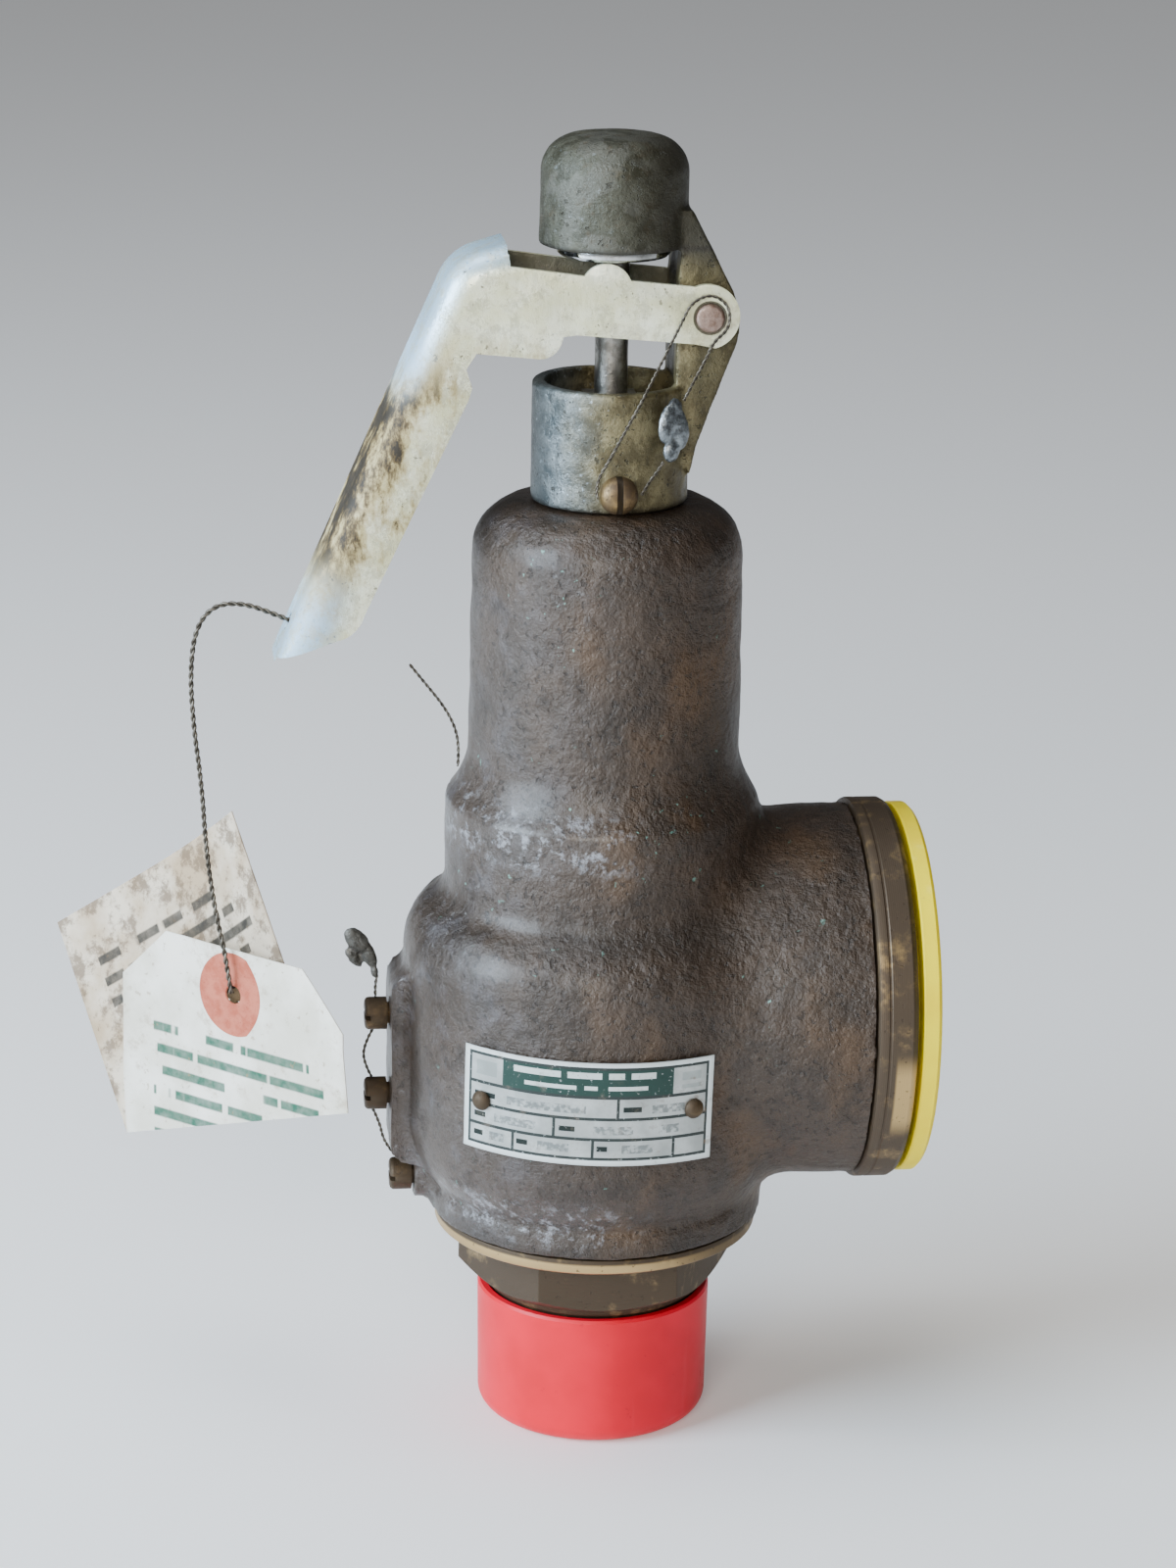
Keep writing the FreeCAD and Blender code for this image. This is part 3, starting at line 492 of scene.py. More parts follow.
# %% [markdown]
# ## Zinc, plated steel and other metals
# The yoke is a zinc die casting: cool grey and brassy on the collar, weathered on the dome. Painted
# shade darkens the dome's east side, the bore and the feet, and bluish-white flecks on the west are
# partly painted glints. The lever was plated, and is now cream with brown stains where hands and
# grease met it; its bend and tip carry a painted blue reflection, and the inside of its channel painted
# shade. Steels, lead and wire are simpler, but each still has its own blots and specks.

# %% Zinc finish
DOME_STARTS = (0.3225, 0.3315)
ARM_STARTS = (0.0195, 0.0225)
# Bands of painted shade at the collar's foot and under the dome's skirt.
COLLAR_FOOT_SHADE = (0.2622, 0.2645)
SKIRT_FOOT_SHADE = (0.3298, 0.3312, 0.0006)
BORE_R = 0.0171
BORE_TOP = 0.3480


def zinc_finish():
    """Die-cast zinc: brassy collar and bracket, olive dome, painted shade on the dome's east side, in the
    bore and at the feet.
    """
    f = Finish("zinc_casting")
    x, y, z = f.axes()
    blots = f.noise(6 * MM, 6, 0.70).ramp(0.36, 0.66)
    fine = f.noise(1.1 * MM, 3, 0.6)
    collar = f.colour(blots, (0.075, 0.092, 0.098), (0.180, 0.205, 0.210))
    drift = f.noise(10 * MM, 4, 0.6) * 0.016
    brassy = (x + drift).ramp(-0.009, 0.006)
    brass = f.colour(blots, (0.080, 0.062, 0.024), (0.215, 0.180, 0.085))
    collar = f.colour(brassy * 0.9, collar, brass)
    dome = f.colour(blots, (0.033, 0.032, 0.020), (0.070, 0.070, 0.050))
    patches = f.noise(9 * MM, 2, 0.4).ramp(0.50, 0.54)
    dome = f.colour(patches * 0.45, dome, (0.105, 0.104, 0.088))
    rust = f.noise(5 * MM, 4, 0.6).ramp(0.54, 0.72)
    dome = f.colour(rust * 0.40, dome, (0.070, 0.046, 0.020))
    # Painted shade: the dome grows darker towards the east, away from the light.
    dome = f.colour((x + drift).ramp(0.004, 0.022) * 0.7, dome, (0.020, 0.017, 0.008))
    arm = x.ramp(*ARM_STARTS)
    collar = f.colour(arm * 0.65, collar, (0.042, 0.034, 0.014))
    high = z.ramp(*DOME_STARTS)
    base = f.colour(high, collar, dome)
    pits = f.noise(1.5 * MM, 3, 0.6).ramp(0.60, 0.68) * f.noise(8 * MM, 2).ramp(0.42, 0.60)
    streaks = f.noise(2.4 * MM, 4, 0.6, f.stretched((1, 1, 0.22))).ramp(0.54, 0.70) * (1 - high)
    base = f.colour((pits * 0.8).highest(streaks * 0.5), base, (0.028, 0.024, 0.016))
    # Bluish-white flecks on the west: partly real flecks, partly painted glints of the cool light.
    flecks_and_glints = f.noise(2.2 * MM, 5, 0.7).ramp(0.60, 0.70) * (1 - x.ramp(-0.010, 0.004)) * (1 - high * 0.75)
    base = f.colour(flecks_and_glints * 0.6, base, (0.50, 0.60, 0.66))
    # Painted shade: dark inside the bore, at the collar's foot and under the dome's skirt.
    bore_shade = (x * x + y * y).under(BORE_R ** 2) * z.under(BORE_TOP)
    foot = (1 - z.ramp(*COLLAR_FOOT_SHADE)).highest(z.inside(*SKIRT_FOOT_SHADE))
    base = f.colour((foot * 0.7).highest(bore_shade * 0.9), base, (0.020, 0.017, 0.013))
    height = fine * (0.14 * MM) + blots * (0.20 * MM) - pits * (0.30 * MM)
    metal = 0.55 - high * 0.15
    roughness = 0.32 + blots * 0.16 + high * 0.08
    return f.wear(Base_Color=base, Metallic=metal, Roughness=roughness).relief(height)


zinc = zinc_finish()
print("zinc nodes:", len(zinc.tree.nodes))


# %% Lever finish
# Seen from the side, a straight stretch of the lever's back is a point on it and a way into the metal.
HANDLE_BACK = ((-0.0893, 0.2198), (0.917, -0.398))
LEVER_TOP = ((-0.0426, 0.3274), (0.282, -0.959))
ROUNDED_FROM = 0.0080
CHANNEL_HALF = 0.01215
SHEET_DEPTH = (0.0016, 0.0019)
PIN_X, PIN_Z = 0.0240, 0.3128
PIN_STAIN_R = 0.0045


def depth_under(x, z, stretch):
    """How far a place lies under a straight stretch of the lever's back."""
    (at_x, at_z), (in_x, in_z) = stretch
    return (x - at_x) * in_x + (z - at_z) * in_z


def lever_finish():
    """Cream plating over pressed steel, stained along the back of the handle, with painted blue reflections
    on the bend and tip and painted shade inside.
    """
    f = Finish("plated_lever")
    x, y, z = f.axes()
    cloud = f.noise(12 * MM, 5, 0.6).ramp(0.35, 0.70)
    base = f.colour(cloud, (0.70, 0.69, 0.43), (0.86, 0.87, 0.69))
    mottle = f.noise(5 * MM, 8, 0.78).ramp(0.47, 0.60)
    base = f.colour(mottle * 0.50, base, (0.37, 0.35, 0.245))
    depth = depth_under(x, z, HANDLE_BACK)
    under_skin = depth.maths("MINIMUM", depth, depth_under(x, z, LEVER_TOP))
    near = 1 - depth.ramp(0.0050, 0.0120)
    handle = z.inside(0.230, 0.304, 0.010)
    grease = f.noise(8 * MM, 7, 0.72, f.stretched((1, 1, 0.5)))
    brown = (grease + near * 0.19).ramp(0.46, 0.62) * handle
    base = f.colour(brown * 0.78, base, (0.36, 0.265, 0.085))
    middle = z.inside(0.246, 0.294, 0.008)
    dark = (grease + near * 0.16).ramp(0.56, 0.66) * middle
    base = f.colour(dark * 0.92, base, (0.095, 0.058, 0.018))
    black = (grease + near * 0.13).ramp(0.60, 0.68) * middle
    base = f.colour(black * 0.92, base, (0.014, 0.011, 0.007))
    specks = f.noise(1.3 * MM, 3).ramp(0.64, 0.68) * f.noise(14 * MM, 2).ramp(0.40, 0.60)
    base = f.colour(specks * 0.75, base, (0.08, 0.06, 0.03))
    # Painted reflection: blue patches of the cool light on the lever's bend and tip.
    bend_reflection = (1 - under_skin.ramp(0.0012, 0.0075)) * z.ramp(0.286, 0.302)
    tip_reflection = (1 - z.ramp(0.228, 0.250)) * (1 - depth.ramp(0.0060, 0.0150))
    base = f.colour(bend_reflection.highest(tip_reflection) * (0.75 - mottle * 0.35) * (1 - dark * 0.8), base, (0.32, 0.55, 0.80))
    rounding = ((abs(y) - ROUNDED_FROM) * 0.35).highest(0.0)
    # Painted shade: the inside of the channel is coloured dark.
    channel_shade = y.inside(-CHANNEL_HALF, CHANNEL_HALF, 0.00008) * (under_skin - rounding).ramp(*SHEET_DEPTH)
    base = f.colour(channel_shade * 0.85, base, (0.060, 0.055, 0.042))
    from_pin = (x - PIN_X) * (x - PIN_X) + (z - PIN_Z) * (z - PIN_Z)
    base = f.colour(from_pin.under(PIN_STAIN_R ** 2) * 0.9, base, (0.030, 0.022, 0.015))
    stain = brown.highest(black)
    height = grease * (0.30 * MM) + mottle * (0.03 * MM) - specks * (0.06 * MM)
    return f.wear(Base_Color=base, Metallic=0.30 - stain * 0.25, Roughness=0.26 + stain * 0.35).relief(height)


plated = lever_finish()
print("lever nodes:", len(plated.tree.nodes))


# %% Steel, lead and wire finishes
def metal_finish(name, bright, dull, blot, roughness, metallic=1.0, grain=0.05):
    """Metal with two tones in blots of a size, and a fine grain."""
    f = Finish(name)
    blots = f.noise(blot, 5, 0.65).ramp(0.38, 0.66)
    fine = f.noise(blot / 6, 3)
    specks = fine.ramp(0.62, 0.70)
    base = f.colour(blots, bright, dull)
    base = f.colour(specks * 0.5, base, tuple(c * 0.35 for c in dull))
    height = fine * (grain * MM) + blots * (grain * 1.5 * MM)
    metal = metallic - specks * 0.3
    return f.wear(Base_Color=base, Metallic=metal, Roughness=roughness + blots * 0.18).relief(height)


stem_steel = metal_finish("stem_steel", (0.42, 0.41, 0.38), (0.20, 0.19, 0.17), 5 * MM, 0.34)
bright_steel = metal_finish("bright_steel", (0.58, 0.60, 0.61), (0.30, 0.30, 0.29), 9 * MM, 0.08, 1.0, 0.008)
spring_steel = metal_finish("spring_steel", (0.20, 0.19, 0.18), (0.10, 0.09, 0.085), 6 * MM, 0.42)
pin_steel = metal_finish("pin_steel", (0.34, 0.25, 0.21), (0.17, 0.10, 0.07), 3 * MM, 0.40, 0.8)
lead = metal_finish("lead", (0.26, 0.29, 0.31), (0.075, 0.080, 0.085), 3 * MM, 0.30, 0.9, 0.08)
dull_lead = metal_finish("dull_lead", (0.17, 0.165, 0.15), (0.075, 0.070, 0.060), 3 * MM, 0.45, 0.7, 0.12)
seal_wire = metal_finish("seal_wire", (0.15, 0.135, 0.11), (0.055, 0.046, 0.036), 2 * MM, 0.42, 0.85, 0.02)
metals = (stem_steel, bright_steel, spring_steel, pin_steel, lead, dull_lead, seal_wire)
print("metals:", [m.material.name for m in metals])

# %% [markdown]
# ## Plastic protectors
# Soft polyethylene, moulded in red and in yellow. It lets a little light in, which brightens its
# shadows, and it scuffs easily. The scuffs change colour and roughness together.

# %% Plastic finishes
def plastic_finish(name, body, deep, scuff, dust):
    """Soft moulded plastic with scuffs and a little dust."""
    f = Finish(name, Subsurface_Weight=0.04, Subsurface_Scale=0.003, Subsurface_Radius=(1.0, 0.35, 0.25),
               Specular_IOR_Level=0.28)
    cloud = f.noise(26 * MM, 3).ramp(0.35, 0.68)
    base = f.colour(cloud, body, deep)
    lines = f.noise(6 * MM, 5, 0.6, f.stretched((1, 1, 0.08))).ramp(0.60, 0.68)
    rubs = f.noise(4 * MM, 5, 0.7).ramp(0.62, 0.70) * f.noise(22 * MM, 2).ramp(0.45, 0.6)
    base = f.colour(rubs * 0.45, base, scuff)
    base = f.colour(lines * 0.10, base, dust)
    skin = f.noise(0.8 * MM, 2)
    height = skin * (0.015 * MM) + rubs * (0.03 * MM) + cloud * (0.12 * MM)
    return f.wear(Base_Color=base, Roughness=0.40 + rubs * 0.2 + cloud * 0.06).relief(height)


red_plastic = plastic_finish("red_plastic", (0.72, 0.0, 0.022), (0.60, 0.0, 0.014),
                             (0.30, 0.004, 0.015), (0.80, 0.06, 0.10))
yellow_plastic = plastic_finish("yellow_plastic", (0.95, 0.78, 0.0), (0.88, 0.68, 0.0),
                                (0.60, 0.52, 0.10), (0.96, 0.92, 0.40))
print("plastics:", red_plastic.material.name, yellow_plastic.material.name)

# %% [markdown]
# ## Making pieces
# Each new piece comes from a bmesh. The helpers here copy a part of the frame as one joined skin,
# round its edges as a deburring wheel would, and hang the finished piece on its body.

# %% Helpers for pieces
def finish_piece(name, mesh, finish, body, slot, *replaced, smooth=35):
    """Give a mesh its finish and its body, and hide the parts that it stands for. The slot is not used."""
    mesh.name = name
    piece = bpy.data.objects.new(name, mesh)
    bpy.context.scene.collection.objects.link(piece)
    mesh.materials.clear()
    mesh.materials.append(finish.material)
    mesh.polygons.foreach_set("use_smooth", [True] * len(mesh.polygons))
    mesh.set_sharp_from_angle(angle=math.radians(smooth))
    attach(piece, body)
    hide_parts(*replaced)
    print(f"{name}: {len(mesh.polygons)} faces")
    return piece


def mesh_from(bm, turn_out=True):
    """Mesh of a bmesh, with its faces turned outwards."""
    if turn_out:
        bmesh.ops.recalc_face_normals(bm, faces=bm.faces)
    mesh = bpy.data.meshes.new("mesh")
    bm.to_mesh(mesh)
    bm.free()
    return mesh


def skin_of(node):
    """Copy of a part of the frame as one joined skin."""
    bm = bmesh.new()
    bm.from_mesh(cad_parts[node].data)
    bmesh.ops.remove_doubles(bm, verts=bm.verts, dist=0.002 * MM)
    return bm


def deburr(bm, width, least_angle=28):
    """Round every edge that is sharper than an angle."""
    bmesh.ops.dissolve_limit(bm, angle_limit=math.radians(0.4), verts=bm.verts, edges=bm.edges)
    sharp = [e for e in bm.edges if e.is_manifold and e.calc_face_angle(0) > math.radians(least_angle)]
    bmesh.ops.bevel(bm, geom=sharp, offset=width, offset_type="OFFSET", segments=2, profile=0.5,
                    affect="EDGES", clamp_overlap=True, material=-1)
    bmesh.ops.triangulate(bm, faces=[f for f in bm.faces if len(f.verts) > 4])
    return bm


def shaped(mesh, *modifiers, groups=None):
    """Mesh after modifiers, each given as its type and its settings, with named groups of vertices."""
    holder = bpy.data.objects.new("holder", mesh)
    bpy.context.scene.collection.objects.link(holder)
    for name, weights in (groups or {}).items():
        group = holder.vertex_groups.new(name=name)
        for index, weight in weights:
            group.add([index], weight, "REPLACE")
    for kind, settings in modifiers:
        modifier = holder.modifiers.new(kind, kind)
        for key, value in settings.items():
            setattr(modifier, key, value)
    graph = bpy.context.evaluated_depsgraph_get()
    result = bpy.data.meshes.new_from_object(holder.evaluated_get(graph))
    bpy.data.objects.remove(holder)
    return result


def lumps(size, depth):
    """Displace modifier's settings for shallow hollows of a size, never higher than the skin."""
    texture = bpy.data.textures.new("lumps", "CLOUDS")
    texture.noise_scale = size
    texture.noise_depth = 2
    return {"texture": texture, "texture_coords": "LOCAL", "strength": depth, "mid_level": 1.0}


def closed_outline(bm, places):
    """Add the points and edges of a closed outline."""
    points = [bm.verts.new(p) for p in places]
    edges = [bm.edges.new(pair) for pair in zip(points, points[1:] + points[:1])]
    return points, edges


def spun(outline, centre, axis, steps):
    """Bmesh of a closed outline turned once about an axis."""
    bm = bmesh.new()
    points, edges = closed_outline(bm, outline)
    bmesh.ops.spin(bm, geom=points + edges, cent=centre, axis=axis, angle=2 * math.pi, steps=steps,
                   use_merge=True, use_duplicate=False)
    bmesh.ops.remove_doubles(bm, verts=bm.verts, dist=0.001 * MM)
    return bm


THREAD_STEPS = 56


def thread_ridge(bm, tooth, centre, axis, pitch, turns):
    """Add a helical ridge: the outline of one tooth, turned and pushed along the axis, closed at its ends."""
    points, edges = closed_outline(bm, tooth)
    bm.faces.new(points)
    made = bmesh.ops.spin(bm, geom=points + edges, cent=centre, axis=axis,
                          dvec=Vector(axis) * (pitch / THREAD_STEPS), angle=2 * math.pi * turns,
                          steps=int(turns * THREAD_STEPS), use_merge=False, use_duplicate=False)
    bm.faces.new([v for v in made["geom_last"] if isinstance(v, bmesh.types.BMVert)])


# %% [markdown]
# ## Body casting
# Body and spring housing are one hollow bronze casting. In the frame the outlet meets the bulb in a
# hard line; the real mould had a generous fillet there. Rebuilding the whole skin from small cells
# and smoothing only the band round that line gives the fillet, and shallow random hollows give the
# uneven skin of a sand mould. The turned rim of the outlet stays crisp, so it is a piece of its own.

# %% Body casting
OUTLET_Z = 122.3 * MM
BAND_X = 69.0 * MM
CASTING_PROFILE = [(61, 47), (69.5, 46.5), (80, 52.2), (92, 54.6), (135, 54.6), (144.2, 53), (150.4, 48.4),
                   (157, 43.5), (180, 43.5), (193, 37.4), (248, 36.8), (262, 23.3)]
HUB_PROFILE = [(0, 46), (36, 49), (50, 51.4), (69, 51.8)]
FILLET_STARTS_X = 12 * MM
FILLET_REACH = 13 * MM
WALL_DEPTH = 3 * MM
CASTING_CELL = 1.45 * MM
SAND_HOLLOWS = [(17 * MM, 0.9 * MM), (5 * MM, 0.35 * MM)]


def along(profile, at):
    """Radius of a profile of (place, radius) pairs in millimetres, at a place in metres."""
    at = at / MM
    for (a, r), (b, s) in zip(profile, profile[1:]):
        if at <= b:
            share = max(0.0, (at - a) / (b - a))
            return (r + (s - r) * share) * MM
    return profile[-1][1] * MM


def joint_weight(co):
    """1 on the line where the outlet meets the bulb, falling to 0 a little way off and inside."""
    if co.x < FILLET_STARTS_X:
        return 0.0
    off_bulb = math.hypot(co.x, co.y) - along(CASTING_PROFILE, co.z)
    off_hub = math.hypot(co.y, co.z - OUTLET_Z) - along(HUB_PROFILE, co.x)
    if min(off_bulb, off_hub) < -WALL_DEPTH:
        return 0.0
    return max(0.0, 1 - math.hypot(off_bulb, off_hub) / FILLET_REACH)


def make_casting():
    """Blended, uneven casting without its turned rim."""
    bm = skin_of("body_casting")
    cut = bmesh.ops.bisect_plane(bm, geom=bm.verts[:] + bm.edges[:] + bm.faces[:], dist=1e-6,
                                 plane_co=(BAND_X, 0, 0), plane_no=(1, 0, 0), clear_outer=True)
    rim = [e for e in cut["geom_cut"] if isinstance(e, bmesh.types.BMEdge)]
    bmesh.ops.bridge_loops(bm, edges=rim)
    mesh = shaped(mesh_from(bm, turn_out=False), ("REMESH", {"mode": "VOXEL", "voxel_size": CASTING_CELL}))
    weights = [(v.index, joint_weight(v.co)) for v in mesh.vertices]
    weights = [(index, weight) for index, weight in weights if weight > 0]
    print("vertices in the fillet:", len(weights))
    mesh = shaped(mesh, ("SMOOTH", {"factor": 0.5, "iterations": 90, "vertex_group": "fillet"}),
                  groups={"fillet": weights})
    mesh = shaped(mesh, *(("DISPLACE", lumps(size, depth)) for size, depth in SAND_HOLLOWS))
    return finish_piece("casting", mesh, bronze, "valve", "bronze_casting", "body_casting", smooth=60)


make_casting()


# %% Outlet rim
OUTLET_THREAD_R = 44.4 * MM
OUTLET_PITCH = 3.175 * MM
OUTLET_TURNS = 2.2
OUTLET_TOOTH = 1.35 * MM


def make_outlet_rim():
    """Turned rim of the outlet: a raised band with a groove, a chamfer, and the thread inside."""
    groove = OUTLET_THREAD_R + 1.3 * MM
    profile = [(68.9, groove / MM), (68.9, 51.6), (69.3, 52.4), (69.8, 52.6), (71.6, 52.6), (71.9, 52.35),
               (72.3, 52.35), (72.6, 52.6), (78.1, 52.6), (79.3, 51.9), (79.8, 51.1), (79.8, 45.9),
               (78.9, groove / MM)]
    bm = spun([(x * MM, 0, OUTLET_Z + r * MM) for x, r in profile], (0, 0, OUTLET_Z), (1, 0, 0), 128)
    root = OUTLET_Z + groove + 0.1 * MM
    start = 69.3 * MM
    tooth = [(start, 0, root), (start + 0.47 * OUTLET_PITCH, 0, root - OUTLET_TOOTH),
             (start + 0.53 * OUTLET_PITCH, 0, root - OUTLET_TOOTH), (start + 0.97 * OUTLET_PITCH, 0, root)]
    thread_ridge(bm, tooth, (0, 0, OUTLET_Z), (1, 0, 0), OUTLET_PITCH, OUTLET_TURNS)
    return finish_piece("outlet_rim", mesh_from(bm), band_brass, "valve", "machined_brass", "body_casting",
                        smooth=30)


make_outlet_rim()

# %% [markdown]
# ## Nozzle
# One turned piece of brass: pipe thread, wrench hexagon and a bright flange under the casting. The
# thread is hidden by the red protector until that is pulled off. A screw thread is a tooth turned
# and pushed along its axis at once, so spin makes it with a step along the axis.

# %% Nozzle
INLET_THREAD_R = 30.15 * MM
INLET_PITCH = 2.209 * MM
THREAD_DEPTH = 1.5 * MM
THREAD_TOP = 37.2 * MM
THREAD_START = 4.2 * MM
INLET_TURNS = 13.4
TAPER = 1 / 32
BORE_CLEAR_R = 27.5 * MM


def make_nozzle():
    """Nozzle with rounded edges and a real thread."""
    bm = skin_of("inlet_nozzle")
    for v in bm.verts:
        r = math.hypot(v.co.x, v.co.y)
        if v.co.z < THREAD_TOP and r > BORE_CLEAR_R:
            v.co.xy *= (r - THREAD_DEPTH) / r
    deburr(bm, 0.45 * MM, 24)
    root = INLET_THREAD_R - THREAD_DEPTH - 0.1 * MM
    tooth = [(root, 0, THREAD_START), (INLET_THREAD_R, 0, THREAD_START + 0.46 * INLET_PITCH),
             (INLET_THREAD_R, 0, THREAD_START + 0.54 * INLET_PITCH),
             (root, 0, THREAD_START + 0.98 * INLET_PITCH)]
    ridge = bmesh.new()
    thread_ridge(ridge, tooth, (0, 0, 0), (0, 0, 1), INLET_PITCH, INLET_TURNS)
    for v in ridge.verts:
        v.co.xy *= 1 - (THREAD_TOP - v.co.z) * TAPER / INLET_THREAD_R
    ridge_mesh = mesh_from(ridge)
    bmesh.ops.recalc_face_normals(bm, faces=bm.faces)
    bm.from_mesh(ridge_mesh)
    return finish_piece("nozzle", mesh_from(bm, turn_out=False), nozzle_brass, "valve", "machined_brass",
                        "inlet_nozzle")


make_nozzle()

# %% [markdown]
# ## Yoke
# The collar, the bracket and the dome are one zinc die casting that has been knocked about. Small
# cells round its corners a little everywhere, as a worn casting's are, and shallow hollows take the
# machined look away.

# %% Yoke
YOKE_CELL = 0.62 * MM


def make_yoke():
    """Softened zinc casting."""
    mesh = shaped(mesh_from(skin_of("lever_yoke"), turn_out=False),
                  ("REMESH", {"mode": "VOXEL", "voxel_size": YOKE_CELL}),
                  ("SMOOTH", {"factor": 0.5, "iterations": 2}),
                  ("DISPLACE", lumps(6 * MM, 0.28 * MM)))
    return finish_piece("yoke", mesh, zinc, "valve", "zinc_casting", "lever_yoke", smooth=60)


make_yoke()

# %% [markdown]
# ## Lever, pin and screws
# These parts are right in the frame, but every edge there is knife sharp. A copy of each gets its
# edges rounded with a small bevel, which is what catches the light on real pressed or turned metal.

# %% Deburred parts
def make_deburred(name, node, finish, body, slot, width):
    """Copy of a part with edges rounded to a width in millimetres."""
    bm = deburr(skin_of(node), width * MM)
    return finish_piece(name, mesh_from(bm), finish, body, slot, node)


DEBURRED = [
    ("lifting_lever", "lever", plated, "lever", "plated_lever", 0.5),
    ("pivot_pin", "lever_pin", pin_steel, "valve", "pin_steel", 0.25),
    ("collar_screw", "yoke_screw", slot_brass, "valve", "brass_screw", 0.2),
    ("upper_lock_screw", "upper_ring_screw", screw_brass, "valve", "brass_screw", 0.35),
    ("lower_lock_screw", "lower_ring_screw", screw_brass, "valve", "brass_screw", 0.35),
    ("nozzle_screw", "nozzle_lock_screw", screw_brass, "valve", "brass_screw", 0.35),
    ("spring_screw", "compression_screw", stem_steel, "valve", "stem_steel", 0.3),
    ("spring_screw_nut", "compression_lock_nut", stem_steel, "valve", "stem_steel", 0.3),
    ("flanged_nut", "lift_nut", bright_steel, "spindle", "bright_steel", 0.25),
    ("locking_nut", "lift_jam_nut", bright_steel, "spindle", "bright_steel", 0.25)]
for row in DEBURRED:
    make_deburred(*row)

# %% [markdown]
# ## Nameplate
# A thin aluminium foil plate, printed with a green band and ruled boxes, bent round the bulb and held
# by two drive screws. A flat grid is bent round the casting, and its own flat map carries the print.
# Lettering is replaced by plain bars.

# %% Nameplate finish
# The plate's flat map runs from 0 to 1 both ways. Rows are named by the heights of the rules between
# them, blocks in the band are left, right, low, high, and bars in a row are left, right, row.
PLATE_RULES = [0.665, 0.455, 0.255, 0.07]
PLATE_SPLITS = [(0, 0.62), (1, 0.38), (2, 0.22), (2, 0.53), (2, 0.84)]
BAND_WORDS = [
    (0.215, 0.40, 0.845, 0.905), (0.425, 0.555, 0.845, 0.905), (0.58, 0.64, 0.845, 0.905),
    (0.665, 0.76, 0.845, 0.905), (0.26, 0.46, 0.735, 0.775), (0.49, 0.54, 0.735, 0.775),
    (0.58, 0.73, 0.735, 0.775)]
CORNER_MARKS = [(0.055, 0.145, 0.74, 0.88), (0.865, 0.945, 0.80, 0.88), (0.865, 0.945, 0.72, 0.76)]
ROW_LABELS = [
    (0.05, 0.14, 0), (0.64, 0.71, 0), (0.05, 0.10, 1), (0.40, 0.46, 1), (0.05, 0.09, 2),
    (0.235, 0.28, 2), (0.545, 0.585, 2)]
STAMPED_BARS = [
    (0.19, 0.50, 0), (0.75, 0.88, 0), (0.14, 0.31, 1), (0.53, 0.68, 1), (0.78, 0.86, 1),
    (0.12, 0.185, 2), (0.32, 0.44, 2), (0.64, 0.76, 2)]
EDGE_LEFT, EDGE_RIGHT = 0.022, 0.978
RULE_HALF = 0.015
SPLIT_HALF = 0.0055


def in_rows(bars, low, high):
    """Blocks for bars that stand in the plate's rows, between two heights over the row's lower rule."""
    foot = PLATE_RULES[1:]
    return [(left, right, foot[row] + low, foot[row] + high) for left, right, row in bars]


